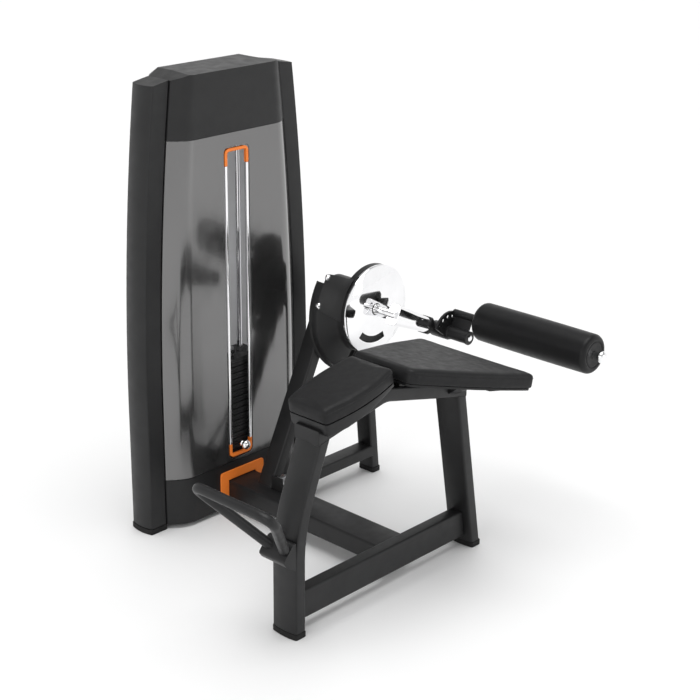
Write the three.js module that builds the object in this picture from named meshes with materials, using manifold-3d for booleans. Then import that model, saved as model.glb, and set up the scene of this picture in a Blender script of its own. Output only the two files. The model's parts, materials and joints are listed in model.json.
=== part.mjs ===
// Prone leg curl machine with a weight tower, a front bench frame and a swinging roller arm.
// Millimetres, +Z up. +X runs from the tower to the bench, +Y from the head end to the roller end.
// The model is built around the tower's centre and moved at the end, so that the origin lies
// on the floor at the centre of the machine's box.

import * as THREE from "three";
import { mergeVertices } from "three/addons/utils/BufferGeometryUtils.js";
import { ConvexGeometry } from "three/addons/geometries/ConvexGeometry.js";
import Module from "manifold-3d";

const wasm = await Module();
wasm.setup();

// ---------- driving dimensions ----------
const GAP = 0.4;                 // clearance between touching pieces
const WALL = 3;                  // wall of the steel tubes

// tower
const TOWER_Y = 58;              // tower and main beam centre
const COLUMN_DEPTH = 95;         // along X
const COLUMN_OUT = 361;          // column's outer face from the tower's centre
const COLUMN_IN = 291;           // column's inner face from the tower's centre
const COLUMN_TOP = 1440;
const BOW_START = 400;           // the columns are upright below this height
const BOW_TOP = 66;              // how far they lean in at the top
const SHROUD_HALF = COLUMN_IN - 2;
const SHROUD_SIDE_X = 58;        // shroud's edge beside the column
const SHROUD_FRONT_X = 92;       // flat front of the shroud
const FACET_HALF = 233;          // half width of the flat front at the floor
const SHEET = 4;                 // thickness of the shroud sheets
const SKIRT_BOTTOM = 14;
const SHROUD_BOTTOM = 172;
const HEADER_BOTTOM = 1272;
const ROOF_EDGE = 1448;
const ROOF_TOP = 1474;

// window in the shroud
const WINDOW_HALF = 49;
const WINDOW_BOTTOM = 190;
const WINDOW_TOP = 1228;
const TRIM_WIDTH = 10;
const TRIM_LEG = 68;

// weight stack
const ROD_HALF = 66;
const ROD_X = 20;
const ROD_RADIUS = 9.5;
const LOWER_PLATES = 5;          // plates below the selector pin, which stay down
const UPPER_PLATES = 13;         // plates that rise with the top plate
const PLATE_PITCH = 21;
const PLATE_THICK = 18.5;
const PLATE_WIDTH = 236;
const PLATE_DEPTH = 104;
const STACK_BOTTOM = 114;
const UPPER_BOTTOM = STACK_BOTTOM + LOWER_PLATES * PLATE_PITCH;
const UPPER_TOP = UPPER_BOTTOM + UPPER_PLATES * PLATE_PITCH;
const TOP_PLATE_THICK = 26;

// base and bench frame
const MAIN_WIDTH = 120;
const MAIN_HEIGHT = 62;
const MAIN_TOP = 111;
const BENCH_X = 789.5;           // centre plane of the bench frame
const LEG_X = 95.6;              // bench tube size along X
const LEG_Y = 44;                // bench tube size across
const CROSS_X = 46;
const CROSS_TOP = 129;
const CROSS_BOTTOM = 38;
const LEFT_LEG_Y = -410.5;
const LEFT_BEND = 235;           // the left front leg is upright below this height
const RIGHT_LEG_Y = 377.5;
const RIGHT_LEAN = -0.18;
const FOOT_HEIGHT = 19;
const RAIL_HEIGHT = 45;

// rear frame
const REAR_X = 201;
const REAR_TUBE_X = 66;
const POST_Y = 57;               // the post's front face at the top of the main beam
const POST_LEAN = 0.47;
const POST_WIDTH = 44;
const REAR_LEG_Y = 569.5;
const REAR_LEAN = -0.105;
const REAR_LEG_WIDTH = 37;
const REAR_RAIL_LOW = 63;
const REAR_RAIL_HIGH = 104;
const FOOT_PULLEY = { x: 263, y: TOWER_Y + 20, z: 131, radius: 26 };

// pivot and arm
const PIVOT = { y: 420, z: 670 };
const HEAD_RADIUS = 105;
const SHAFT_RADIUS = 20;
const CAM_RADIUS = 100;
const CAM_X = 262;
const BELT_WIDTH = 24;
const DISC_RADIUS = 147;
const INNER_DISC = [320, 343];
const CHROME_DISC = [344, 355];
const ARM_X = [402, 450];
const ARM_DEPTH = [70, 51];       // the chrome lever at the pivot and at its far end
const HUB_RADIUS = 18;
const SLEEVE = { y: 657, z: 559 };
const SLEEVE_RADIUS = 21;
const INDEX_X = [463, 471];
const INDEX_RADIUS = 72;
const HOLE_CIRCLE = 56;
const HOLE_STEP = 25;            // degrees between index holes
const HOLE_FIRST = 72;
const ROLLER = { y: 688, z: 619 };
const ROLLER_X = [582, 1030];
const ROLLER_RADIUS = 64;

// ---------- finishes ----------
const finish = (color, roughness, metalness = 0) =>
  new THREE.MeshStandardMaterial({ color, roughness, metalness });
const BLACK = finish(0x2b2b2c, 0.45, 0.2);
const GREY = finish(0x77787a, 0.3, 0.6);
const ORANGE = finish(0xd9691f, 0.4);
const CHROME = finish(0xe6e8ea, 0.06, 1);
const STEEL = finish(0x9a9c9e, 0.3, 0.9);
const RUBBER = finish(0x1c1c1c, 0.8);
const VINYL = finish(0x26262a, 0.5);
const FOAM = finish(0x1d1d1f, 0.6);

// ---------- solids ----------
function bare(geometry) {
  geometry.deleteAttribute("normal");
  geometry.deleteAttribute("uv");
  return mergeVertices(geometry, 1e-4);
}

function toSolid(geometry) {
  const clean = bare(geometry.clone());
  const mesh = new wasm.Mesh({
    numProp: 3,
    vertProperties: new Float32Array(clean.attributes.position.array),
    triVerts: new Uint32Array(clean.index.array),
  });
  return new wasm.Manifold(mesh);
}

function toGeometry(solid) {
  const mesh = solid.getMesh();
  const geometry = new THREE.BufferGeometry();
  geometry.setAttribute("position", new THREE.BufferAttribute(mesh.vertProperties, 3));
  geometry.setIndex(new THREE.BufferAttribute(mesh.triVerts, 1));
  return geometry;
}

function cut(geometry, ...tools) {
  return toGeometry(tools.reduce((solid, tool) => solid.subtract(toSolid(tool)), toSolid(geometry)));
}

function join(geometry, ...others) {
  return toGeometry(others.reduce((solid, other) => solid.add(toSolid(other)), toSolid(geometry)));
}

function keep(geometry, tool) {
  return toGeometry(toSolid(geometry).intersect(toSolid(tool)));
}

function roundedRect(width, height, radius, x = 0, y = 0) {
  const a = width / 2;
  const b = height / 2;
  const shape = new THREE.Shape();
  shape.moveTo(x - a + radius, y - b);
  shape.lineTo(x + a - radius, y - b);
  shape.absarc(x + a - radius, y - b + radius, radius, -Math.PI / 2, 0);
  shape.lineTo(x + a, y + b - radius);
  shape.absarc(x + a - radius, y + b - radius, radius, 0, Math.PI / 2);
  shape.lineTo(x - a + radius, y + b);
  shape.absarc(x - a + radius, y + b - radius, radius, Math.PI / 2, Math.PI);
  shape.lineTo(x - a, y - b + radius);
  shape.absarc(x - a + radius, y - b + radius, radius, Math.PI, 1.5 * Math.PI);
  return shape;
}

function tubeSection(width, height, radius, x = 0, y = 0) {
  const shape = roundedRect(width, height, radius, x, y);
  shape.holes.push(roundedRect(width - 2 * WALL, height - 2 * WALL, Math.max(radius - WALL, 1), x, y));
  return shape;
}

function polygon(points) {
  return new THREE.Shape(points.map(([x, y]) => new THREE.Vector2(x, y)));
}

function extrude(shape, from, to, options = {}) {
  const depth = to - from;
  const settings = { depth, bevelEnabled: false, curveSegments: 3, steps: 1, ...options };
  return new THREE.ExtrudeGeometry(shape, settings).translate(0, 0, from);
}

// The shape's (x, y) become the world's (y, z), and the depth runs along X.
function alongX(shape, from, to, options) {
  const basis = new THREE.Matrix4().makeBasis(
    new THREE.Vector3(0, 1, 0), new THREE.Vector3(0, 0, 1), new THREE.Vector3(1, 0, 0));
  return extrude(shape, from, to, options).applyMatrix4(basis);
}

// The shape's (x, y) become the world's (z, x), and the depth runs along Y.
function alongY(shape, from, to, options) {
  const basis = new THREE.Matrix4().makeBasis(
    new THREE.Vector3(0, 0, 1), new THREE.Vector3(1, 0, 0), new THREE.Vector3(0, 1, 0));
  return extrude(shape, from, to, options).applyMatrix4(basis);
}

function box(x0, x1, y0, y1, z0, z1) {
  const geometry = new THREE.BoxGeometry(x1 - x0, y1 - y0, z1 - z0);
  return geometry.translate((x0 + x1) / 2, (y0 + y1) / 2, (z0 + z1) / 2);
}

function rod(radius, from, to, axis, sides = 24) {
  const geometry = new THREE.CylinderGeometry(radius, radius, to - from, sides).translate(0, (to + from) / 2, 0);
  if (axis === "x") geometry.rotateZ(-Math.PI / 2);
  if (axis === "z") geometry.rotateX(Math.PI / 2);
  return geometry;
}

function warp(geometry, move) {
  const place = geometry.attributes.position;
  const point = new THREE.Vector3();
  for (let i = 0; i < place.count; i += 1) {
    point.fromBufferAttribute(place, i);
    move(point);
    place.setXYZ(i, point.x, point.y, point.z);
  }
  return geometry;
}

function add(parent, name, geometry, material) {
  const mesh = new THREE.Mesh(geometry, material);
  mesh.name = name;
  parent.add(mesh);
  return mesh;
}

// ---------- tower ----------
const bow = (z) => BOW_TOP * (Math.max(z - BOW_START, 0) / (COLUMN_TOP - BOW_START)) ** 2;

function column(side) {
  const middle = (COLUMN_OUT + COLUMN_IN) / 2;
  const width = COLUMN_OUT - COLUMN_IN;
  const section = tubeSection(COLUMN_DEPTH, width, 9, 0, side * middle);
  const body = extrude(section, FOOT_HEIGHT, COLUMN_TOP, { steps: 9, curveSegments: 2 });
  const top = extrude(roundedRect(COLUMN_DEPTH, width, 9, 0, side * middle), COLUMN_TOP - WALL, COLUMN_TOP);
  const slope = 12 / width;
  warp(body, (p) => { p.y -= side * bow(p.z); });
  warp(top, (p) => {
    if (p.z === COLUMN_TOP) p.z += (COLUMN_OUT - Math.abs(p.y)) * slope;
    p.y -= side * bow(COLUMN_TOP);
  });
  return join(body, top);
}

function columnFoot(side) {
  const middle = (COLUMN_OUT + COLUMN_IN) / 2;
  const shape = roundedRect(COLUMN_DEPTH + 4, COLUMN_OUT - COLUMN_IN + 4, 10, 0, side * middle);
  return extrude(shape, 0, FOOT_HEIGHT - GAP);
}

// Half of the tower's plan: the edge by the column, the slanted facet and the flat front.
function facePlan(offset) {
  const half = SHROUD_HALF;
  const facet = FACET_HALF;
  const front = SHROUD_FRONT_X + offset;
  const side = SHROUD_SIDE_X + offset;
  const back = SHEET;
  return polygon([
    [side - 26, -half], [side, -half], [front, -facet], [front, facet], [side, half], [side - 26, half],
    [side - 26, half - back], [side - back, half - back], [front - back, facet - back / 2],
    [front - back, -facet + back / 2], [side - back, -half + back], [side - 26, -half + back],
  ]);
}

const squeeze = (p) => { p.y *= (SHROUD_HALF - bow(p.z)) / SHROUD_HALF; };

function facePanel(from, to, offset = 0) {
  return warp(extrude(facePlan(offset), from, to, { steps: 12 }), squeeze);
}

function frontShroud() {
  const slot = alongX(
    roundedRect(2 * WINDOW_HALF + 2 * GAP, WINDOW_TOP - WINDOW_BOTTOM + 2 * GAP, 16, 0,
      (WINDOW_TOP + WINDOW_BOTTOM) / 2), 60, 120);
  return cut(facePanel(SHROUD_BOTTOM + GAP, HEADER_BOTTOM - GAP), slot);
}

function frontSkirt() {
  const gate = box(60, 120, -MAIN_WIDTH / 2 - 2, MAIN_WIDTH / 2 + 2, 0, MAIN_TOP + 2);
  return cut(facePanel(SKIRT_BOTTOM, SHROUD_BOTTOM - GAP), gate);
}

function rearShroud() {
  return facePanel(SKIRT_BOTTOM, HEADER_BOTTOM - GAP).rotateZ(Math.PI);
}

function roofHull(inset) {
  const half = SHROUD_HALF - bow(ROOF_EDGE) - inset;
  const facet = FACET_HALF - bow(ROOF_EDGE) - inset;
  const side = SHROUD_SIDE_X + 1 - inset;
  const front = SHROUD_FRONT_X + 1 - inset;
  const points = [];
  for (const sx of [-1, 1]) {
    for (const sy of [-1, 1]) {
      for (const z of [HEADER_BOTTOM + 60, ROOF_EDGE]) points.push([sx * side, sy * half, z - inset]);
      for (const z of [HEADER_BOTTOM + 60, ROOF_EDGE + 15]) points.push([sx * front, sy * facet, z - inset]);
      points.push([sx * 37, sy * 165, ROOF_TOP - inset]);
    }
  }
  return new ConvexGeometry(points.map((p) => new THREE.Vector3(...p)));
}

function headerWalls(inset, from, to) {
  const half = SHROUD_HALF - inset;
  const facet = FACET_HALF - inset;
  const side = SHROUD_SIDE_X + 1 - inset;
  const front = SHROUD_FRONT_X + 1 - inset;
  const plan = polygon([
    [side, -half], [front, -facet], [front, facet], [side, half],
    [-side, half], [-front, facet], [-front, -facet], [-side, -half],
  ]);
  return warp(extrude(plan, from, to, { steps: 8 }), squeeze);
}

function header() {
  const outer = join(headerWalls(0, HEADER_BOTTOM, ROOF_EDGE), roofTop(0));
  const inner = join(headerWalls(SHEET, HEADER_BOTTOM - 5, ROOF_EDGE - SHEET), roofTop(SHEET));
  return cut(outer, inner);
}

function roofTop(inset) {
  const hull = roofHull(inset);
  const lower = ROOF_EDGE - 12 - inset;
  return keep(hull, box(-200, 200, -400, 400, lower, ROOF_TOP + 10));
}

function windowTrim(from, to) {
  const middle = (WINDOW_TOP + WINDOW_BOTTOM) / 2;
  const height = WINDOW_TOP - WINDOW_BOTTOM;
  const shape = roundedRect(2 * WINDOW_HALF, height, 16, 0, middle);
  const inner = roundedRect(2 * (WINDOW_HALF - TRIM_WIDTH), height - 2 * TRIM_WIDTH, 7, 0, middle);
  shape.holes.push(inner);
  return keep(alongX(shape, SHROUD_FRONT_X - 10, SHROUD_FRONT_X + 1.5), box(60, 120, -80, 80, from, to));
}

function windowStrip(side) {
  const outer = side * WINDOW_HALF;
  const inner = side * (WINDOW_HALF - TRIM_WIDTH + 1);
  return box(SHROUD_FRONT_X - 10, SHROUD_FRONT_X + 1, Math.min(inner, outer), Math.max(inner, outer),
    WINDOW_BOTTOM + TRIM_LEG + GAP, WINDOW_TOP - TRIM_LEG - GAP);
}

function beamCollar() {
  const outer = MAIN_WIDTH / 2 + 36;
  const inner = MAIN_WIDTH / 2 + 1;
  const base = 27;
  const top = 146;
  const ease = 8;
  const shape = polygon([
    [-outer, base], [-inner, base], [-inner, MAIN_TOP + 3], [inner, MAIN_TOP + 3], [inner, base], [outer, base],
    [outer, top - ease], [outer - ease, top], [-outer + ease, top], [-outer, top - ease],
  ]);
  return alongX(shape, SHROUD_FRONT_X + GAP, SHROUD_FRONT_X + 6);
}

const AXLE_RADIUS = 6;
const TOP_PULLEY = { x: ROD_X - 2 - 34, z: 1318, radius: 38 };


function baseCrossmember() {
  const half = COLUMN_IN - 1;
  const section = tubeSection(62, 60, 5, STACK_BOTTOM - GAP - 31, 0);
  return alongY(section, -half, half);
}

function topCrossmember() {
  const half = COLUMN_IN - bow(1404) - 2 - SHEET - 1;
  const bar = alongY(tubeSection(40, 84, 4, 1384, 0), -half, half);
  const cheeks = [-1, 1].map((s) => box(TOP_PULLEY.x - 16, TOP_PULLEY.x + 16, s * 20 - 2, s * 20 + 2,
    TOP_PULLEY.z - 16, 1366));
  const holes = [-1, 1].map((s) => rod(ROD_RADIUS + GAP, 1340, 1420, "z").translate(ROD_X, s * ROD_HALF, 0));
  const axle = rod(AXLE_RADIUS, -20, 20, "y", 16).translate(TOP_PULLEY.x, 0, TOP_PULLEY.z);
  return cut(join(bar, ...cheeks, axle), ...holes);
}

function pulley(radius, width) {
  const bore = AXLE_RADIUS + GAP;
  const half = width / 2;
  const groove = radius - 5;
  const profile = [[bore, -half], [radius, -half], [radius, 4 - half], [groove, 5 - half],
    [groove, half - 5], [radius, half - 4], [radius, half], [bore, half], [bore, -half]];
  const points = profile.map(([r, h]) => new THREE.Vector2(r, h));
  return new THREE.LatheGeometry(points, 28).rotateZ(-Math.PI / 2);
}

function buildTower(tower) {
  for (const [word, side] of [["left", -1], ["right", 1]]) {
    add(tower, `${word}_column`, column(side), BLACK);
    add(tower, `${word}_column_foot`, columnFoot(side), RUBBER);
    add(tower, `window_strip_${word}`, windowStrip(side), CHROME);
    const guide = rod(ROD_RADIUS, STACK_BOTTOM, 1402, "z");
    add(tower, `guide_rod_${word}`, guide, CHROME).position.set(ROD_X, side * ROD_HALF, 0);
  }
  add(tower, "header", header(), BLACK);
  add(tower, "front_shroud", frontShroud(), GREY);
  add(tower, "front_skirt", frontSkirt(), BLACK);
  add(tower, "rear_shroud", rearShroud(), GREY);
  add(tower, "window_trim_top", windowTrim(WINDOW_TOP - TRIM_LEG, WINDOW_TOP + 5), ORANGE);
  add(tower, "window_trim_bottom", windowTrim(WINDOW_BOTTOM - 5, WINDOW_BOTTOM + TRIM_LEG), ORANGE);
  add(tower, "beam_collar", beamCollar(), ORANGE);
  add(tower, "base_crossmember", baseCrossmember(), BLACK);
  add(tower, "top_crossmember", topCrossmember(), BLACK);
  const wheel = pulley(TOP_PULLEY.radius, 34).rotateZ(Math.PI / 2);
  add(tower, "top_pulley", wheel, STEEL).position.set(TOP_PULLEY.x, 0, TOP_PULLEY.z);
}

// ---------- weight stack ----------
const pinHeight = UPPER_BOTTOM + PLATE_THICK / 2;
const plateFront = ROD_X + PLATE_DEPTH / 2;

function rodHoles(from, to) {
  return [-1, 1].map((s) => rod(ROD_RADIUS + 1.5, from, to, "z", 8).translate(ROD_X, s * ROD_HALF, 0));
}

// Plates joined by a core that is narrower than they are, so that each one shows its edge.
function plateBlock(low, count) {
  const plates = [];
  for (let i = 0; i < count; i += 1) {
    const z = low + i * PLATE_PITCH;
    plates.push(box(ROD_X - PLATE_DEPTH / 2, plateFront, -PLATE_WIDTH / 2, PLATE_WIDTH / 2, z, z + PLATE_THICK));
  }
  const top = low + (count - 1) * PLATE_PITCH + PLATE_THICK;
  const core = box(ROD_X - 40, ROD_X + 40, -48, 48, low, top);
  const bore = rod(14, low - 5, top + 5, "z", 16).translate(ROD_X, 0, 0);
  return cut(join(core, ...plates), bore, ...rodHoles(low - 5, top + 5));
}

function upperPlates() {
  const pinHole = rod(5.5, ROD_X - 20, plateFront + 10, "x", 12).translate(0, 0, pinHeight);
  return cut(plateBlock(UPPER_BOTTOM, UPPER_PLATES), pinHole);
}

function topPlate() {
  const shape = roundedRect(PLATE_DEPTH, PLATE_WIDTH, 5, ROD_X, 0);
  const slab = extrude(shape, UPPER_TOP, UPPER_TOP + TOP_PLATE_THICK, { curveSegments: 1 });
  return cut(slab, ...rodHoles(UPPER_TOP - 5, UPPER_TOP + 40));
}

function selectorPin() {
  const shank = rod(4.5, ROD_X - 14, plateFront + 40, "x", 16);
  const knob = new THREE.SphereGeometry(16, 20, 12).scale(0.75, 1, 1).translate(plateFront + 44, 0, 0);
  return join(shank, knob);
}

function buildStack(stack) {
  add(stack, "lower_plates", plateBlock(STACK_BOTTOM, LOWER_PLATES), BLACK);
  add(stack, "upper_plates", upperPlates(), BLACK);
  add(stack, "top_plate", topPlate(), BLACK);
  const hole = rod(6, -30, 30, "x", 12).translate(0, 0, pinHeight);
  const stem = cut(rod(12, STACK_BOTTOM + 6, UPPER_TOP - GAP, "z"), hole);
  add(stack, "selector_stem", stem, STEEL).position.set(ROD_X, 0, 0);
  const belt = box(ROD_X - 1.5, ROD_X + 1.5, -11, 11, UPPER_TOP + TOP_PLATE_THICK + GAP, TOP_PULLEY.z);
  add(stack, "lift_belt", belt, RUBBER);
  add(stack, "selector_pin", selectorPin(), CHROME).position.set(0, 0, pinHeight);
}

// ---------- main frame ----------
function mainBeam() {
  const section = tubeSection(MAIN_HEIGHT, MAIN_WIDTH, 5, MAIN_TOP - MAIN_HEIGHT / 2, 0);
  const start = 30 + GAP;
  const end = BENCH_X - CROSS_X / 2 - GAP;
  const basis = new THREE.Matrix4().makeBasis(
    new THREE.Vector3(0, 0, 1), new THREE.Vector3(0, -1, 0), new THREE.Vector3(1, 0, 0));
  const beam = extrude(section, start, end).applyMatrix4(basis);
  const slot = box(FOOT_PULLEY.x - 25, FOOT_PULLEY.x + 25, 2, 38, MAIN_TOP - 15, MAIN_TOP + 5);
  return cut(beam, slot);
}

function leftShift(z) {
  const rise = Math.max(z - LEFT_BEND, 0);
  const full = 190;
  const slope = 0.38;
  return rise < full ? (slope * rise * rise) / (2 * full) : slope * (rise - full / 2);
}

function frontLeg(y, shift, top) {
  const section = tubeSection(LEG_X, LEG_Y, 7, BENCH_X, y);
  const leg = warp(extrude(section, FOOT_HEIGHT, top, { steps: 9, curveSegments: 2 }), (p) => { p.y += shift(p.z); });
  return leg;
}

const RAIL_PEAK = [-58, 647];
const RAIL_LEFT = [-352, 593];
const RAIL_RIGHT = [302, 557];

function railOutline(half) {
  const [py, pz] = RAIL_PEAK;
  const [ly, lz] = RAIL_LEFT;
  const [ry, rz] = RAIL_RIGHT;
  const end = half - RAIL_HEIGHT / 2;
  return polygon([
    [ly - end, lz - half], [py, pz - half], [ry + end, rz - half],
    [ry + end, rz + half], [py, pz + half], [ly - end, lz + half],
  ]);
}

function railUnderside() {
  const [py, pz] = RAIL_PEAK;
  const half = RAIL_HEIGHT / 2 + GAP;
  const [ly, lz] = RAIL_LEFT;
  const [ry, rz] = RAIL_RIGHT;
  const outline = polygon([
    [ly - 80, lz - 15 - half], [py, pz - half], [ry + 80, rz - 25 - half], [ry + 80, 900], [ly - 80, 900],
  ]);
  return alongX(outline, BENCH_X - 80, BENCH_X + 80);
}

function topRail() {
  const half = LEG_X / 2;
  const solid = alongX(railOutline(RAIL_HEIGHT / 2), BENCH_X - half, BENCH_X + half);
  const hollow = alongX(railOutline(RAIL_HEIGHT / 2 - WALL), BENCH_X - half + WALL, BENCH_X + half - WALL);
  const drain = box(BENCH_X - 20, BENCH_X + 20, -345, -315, 560, 590);
  return cut(solid, hollow, drain);
}

function crossBeam() {
  const left = LEFT_LEG_Y + LEG_Y / 2 + GAP;
  const right = RIGHT_LEG_Y + 10;
  const section = tubeSection(CROSS_TOP - CROSS_BOTTOM, CROSS_X, 5, (CROSS_TOP + CROSS_BOTTOM) / 2, BENCH_X);
  const beam = alongY(section, left, right);
  const face = RIGHT_LEG_Y - LEG_Y / 2 - GAP;
  const trim = alongX(polygon([[face, 0], [face + 60, 0], [face + 60, 300], [face + 300 * RIGHT_LEAN, 300]]),
    BENCH_X - 60, BENCH_X + 60);
  return cut(beam, trim);
}

function footCap(width, depth, x, y) {
  return extrude(roundedRect(width, depth, 6, x, y), 0, FOOT_HEIGHT - GAP);
}

const GRIP_START = [BENCH_X - 22, -445, 279];
const GRIP_CORNER = [BENCH_X - 164, -625, 490];

function handleBar() {
  const start = new THREE.Vector3(...GRIP_START);
  const corner = new THREE.Vector3(...GRIP_CORNER);
  const round = 60;
  const path = new THREE.CurvePath();
  const flip = (v) => new THREE.Vector3(2 * BENCH_X - v.x, v.y, v.z);
  const back = corner.clone().lerp(start, round / corner.distanceTo(start));
  const along = corner.clone().add(new THREE.Vector3(round, 0, 0));
  path.add(new THREE.LineCurve3(start, back));
  path.add(new THREE.QuadraticBezierCurve3(back, corner, along));
  path.add(new THREE.LineCurve3(along, flip(along)));
  path.add(new THREE.QuadraticBezierCurve3(flip(along), flip(corner), flip(back)));
  path.add(new THREE.LineCurve3(flip(back), flip(start)));
  const circle = new THREE.Shape().absarc(0, 0, 15, 0, 2 * Math.PI);
  return new THREE.ExtrudeGeometry(circle, { steps: 32, curveSegments: 6, bevelEnabled: false, extrudePath: path });
}

function handleBracket() {
  const face = LEFT_LEG_Y - LEG_Y / 2 - GAP;
  const outline = polygon([
    [face, 226], [face, 312], [face - 8, 312], [face - 46, 268], [face - 34, 250],
  ]);
  const block = alongX(outline, BENCH_X - 50, BENCH_X + 50);
  const tool = join(
    rod(15 + GAP, -120, 120, "y", 20).applyMatrix4(tubeTurn(-1)),
    rod(15 + GAP, -120, 120, "y", 20).applyMatrix4(tubeTurn(1)));
  return cut(block, tool);
}

// Places a cylinder on the handle's side tube, so that the bracket is notched for it.
function tubeTurn(side) {
  const start = new THREE.Vector3(...GRIP_START);
  const way = new THREE.Vector3(...GRIP_CORNER).sub(start).normalize();
  start.x = BENCH_X + side * (BENCH_X - start.x);
  way.x *= -side;
  const turn = new THREE.Quaternion().setFromUnitVectors(new THREE.Vector3(0, 1, 0), way);
  const centre = start.clone().addScaledVector(way, 120 - 0.2);
  return new THREE.Matrix4().compose(centre, turn, new THREE.Vector3(1, 1, 1));
}

function buildFrame(frame) {
  add(frame, "main_beam", mainBeam(), BLACK).position.y = TOWER_Y;
  add(frame, "cross_beam", crossBeam(), BLACK);
  const under = railUnderside();
  add(frame, "front_left_leg", cut(frontLeg(LEFT_LEG_Y, leftShift, 620), under), BLACK);
  add(frame, "front_right_leg", cut(frontLeg(RIGHT_LEG_Y, (z) => RIGHT_LEAN * z, 620), under), BLACK);
  add(frame, "front_left_foot", footCap(LEG_X + 2, LEG_Y + 4, BENCH_X, LEFT_LEG_Y), RUBBER);
  add(frame, "front_right_foot", footCap(LEG_X + 2, LEG_Y + 4, BENCH_X, RIGHT_LEG_Y), RUBBER);
  add(frame, "top_rail", topRail(), BLACK);
  add(frame, "handle_bar", handleBar(), BLACK);
  add(frame, "handle_bracket", handleBracket(), BLACK);
}

// ---------- rear frame ----------
const postFront = (z) => POST_Y + POST_LEAN * (z - MAIN_TOP);
const rearFront = (z) => REAR_LEG_Y - REAR_LEG_WIDTH / 2 + REAR_LEAN * z;

function pivotPost(headTool) {
  const section = tubeSection(REAR_TUBE_X, POST_WIDTH, 6, REAR_X, POST_WIDTH / 2);
  const post = warp(extrude(section, MAIN_TOP + GAP, 690, { steps: 1 }), (p) => { p.y += postFront(p.z); });
  return cut(post, headTool);
}

function rearLeg(headTool) {
  const section = tubeSection(REAR_TUBE_X, REAR_LEG_WIDTH, 6, REAR_X, REAR_LEG_Y);
  const leg = warp(extrude(section, FOOT_HEIGHT, 640, { steps: 1 }), (p) => { p.y += REAR_LEAN * p.z; });
  return cut(leg, headTool);
}

function rearRail() {
  const height = REAR_RAIL_HIGH - REAR_RAIL_LOW;
  const section = tubeSection(height, REAR_TUBE_X - 4, 5, (REAR_RAIL_HIGH + REAR_RAIL_LOW) / 2, REAR_X + 3);
  const rail = alongY(section, TOWER_Y + MAIN_WIDTH / 2 + GAP, REAR_LEG_Y);
  const face = REAR_LEG_Y - REAR_LEG_WIDTH / 2 - GAP;
  const trim = alongX(polygon([[face, 0], [face + 60, 0], [face + 60, 300], [face + 300 * REAR_LEAN, 300]]),
    REAR_X - 60, REAR_X + 60);
  return cut(rail, trim);
}

function pivotHead() {
  const disc = rod(HEAD_RADIUS, REAR_X - REAR_TUBE_X / 2, REAR_X + REAR_TUBE_X / 2 + 4, "x", 40);
  const bore = rod(SHAFT_RADIUS + GAP, 100, 300, "x", 32);
  return cut(disc, bore).translate(0, PIVOT.y, PIVOT.z);
}

// The cam guard's rim is a round sheet; past its shoulder it narrows to the inner disc like a cone.
const RIM = { y: 457, z: 651 };
const GUARD_SHEET = 5;
const GUARD = [
  { x: 236, ...RIM, r: 226, from: 142, to: 242 },
  { x: 268, ...RIM, r: 222, from: 142, to: 242 },
  { x: 317, ...PIVOT, r: 152, from: 142, to: 242 },
];
const GUARD_PLATE = [
  { x: 268, ...RIM, r: 229, from: 139, to: 169 },
  { x: 318, ...PIVOT, r: 160, from: 131, to: 180 },
  { x: 343, ...PIVOT, r: 155, from: 128, to: 184 },
];

function sector(inner, outer, from, to) {
  const shape = new THREE.Shape();
  const a = THREE.MathUtils.degToRad(from);
  const b = THREE.MathUtils.degToRad(to);
  shape.absarc(0, 0, outer, a, b, false);
  shape.absarc(0, 0, inner, b, a, true);
  return shape;
}

// The profile's triangles, all turned the same way in its own (x, radius) plane.
function profileTriangles(profile) {
  const flat = profile.map(({ x, r }) => new THREE.Vector2(x, r));
  return THREE.ShapeUtils.triangulateShape(flat, []).map(([a, b, c]) => {
    const turn = flat[b].clone().sub(flat[a]).cross(flat[c].clone().sub(flat[a]));
    return turn > 0 ? [a, b, c] : [a, c, b];
  });
}

// A sheet bent round the X axis: each point of its closed profile follows a circle of its own,
// between its own angles. The profile runs anticlockwise in its (x, radius) plane.
function bentSheet(profile, segments) {
  const size = profile.length;
  const place = [];
  const index = [];
  for (let i = 0; i <= segments; i += 1) {
    for (const { x, y, z, r, from, to } of profile) {
      const angle = THREE.MathUtils.degToRad(THREE.MathUtils.lerp(from, to, i / segments));
      place.push(x, y + r * Math.cos(angle), z + r * Math.sin(angle));
    }
  }
  for (let a = 0; a < segments * size; a += 1) {
    const b = a % size === size - 1 ? a + 1 - size : a + 1;
    index.push(a, b, b + size, a, b + size, a + size);
  }
  for (const [a, b, c] of profileTriangles(profile)) {
    const last = segments * size;
    index.push(a, c, b, last + a, last + b, last + c);
  }
  const geometry = new THREE.BufferGeometry();
  geometry.setAttribute("position", new THREE.Float32BufferAttribute(place, 3));
  geometry.setIndex(index);
  return geometry;
}

function camGuard() {
  const [rim, shoulder, neck] = GUARD;
  const inside = (station) => ({ ...station, r: station.r - GUARD_SHEET });
  const web = { ...rim, x: rim.x + 5, r: 95 };
  const back = { ...web, x: web.x + 4 };
  const fold = { ...inside(rim), x: rim.x + 4 };
  const lip = { ...inside(neck), x: neck.x - 2.5 };
  return bentSheet([web, back, fold, inside(shoulder), lip, neck, shoulder, rim], 22);
}

function guardPlate() {
  const under = GUARD_PLATE.map((station) => ({ ...station, r: station.r - 5.5 }));
  under[0].x += 2;
  under[2].x -= 2;
  return bentSheet([...under, ...[...GUARD_PLATE].reverse()], 12);
}

function footPulleyBlock() {
  const { x, y, z } = FOOT_PULLEY;
  const cheek = box(x - 24, x + 24, y - 24, y - 17.5, MAIN_TOP + GAP, z + 27);
  const axle = rod(AXLE_RADIUS, y - 20, y + 20, "y", 16).translate(x, 0, z);
  return join(cheek, axle);
}

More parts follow.
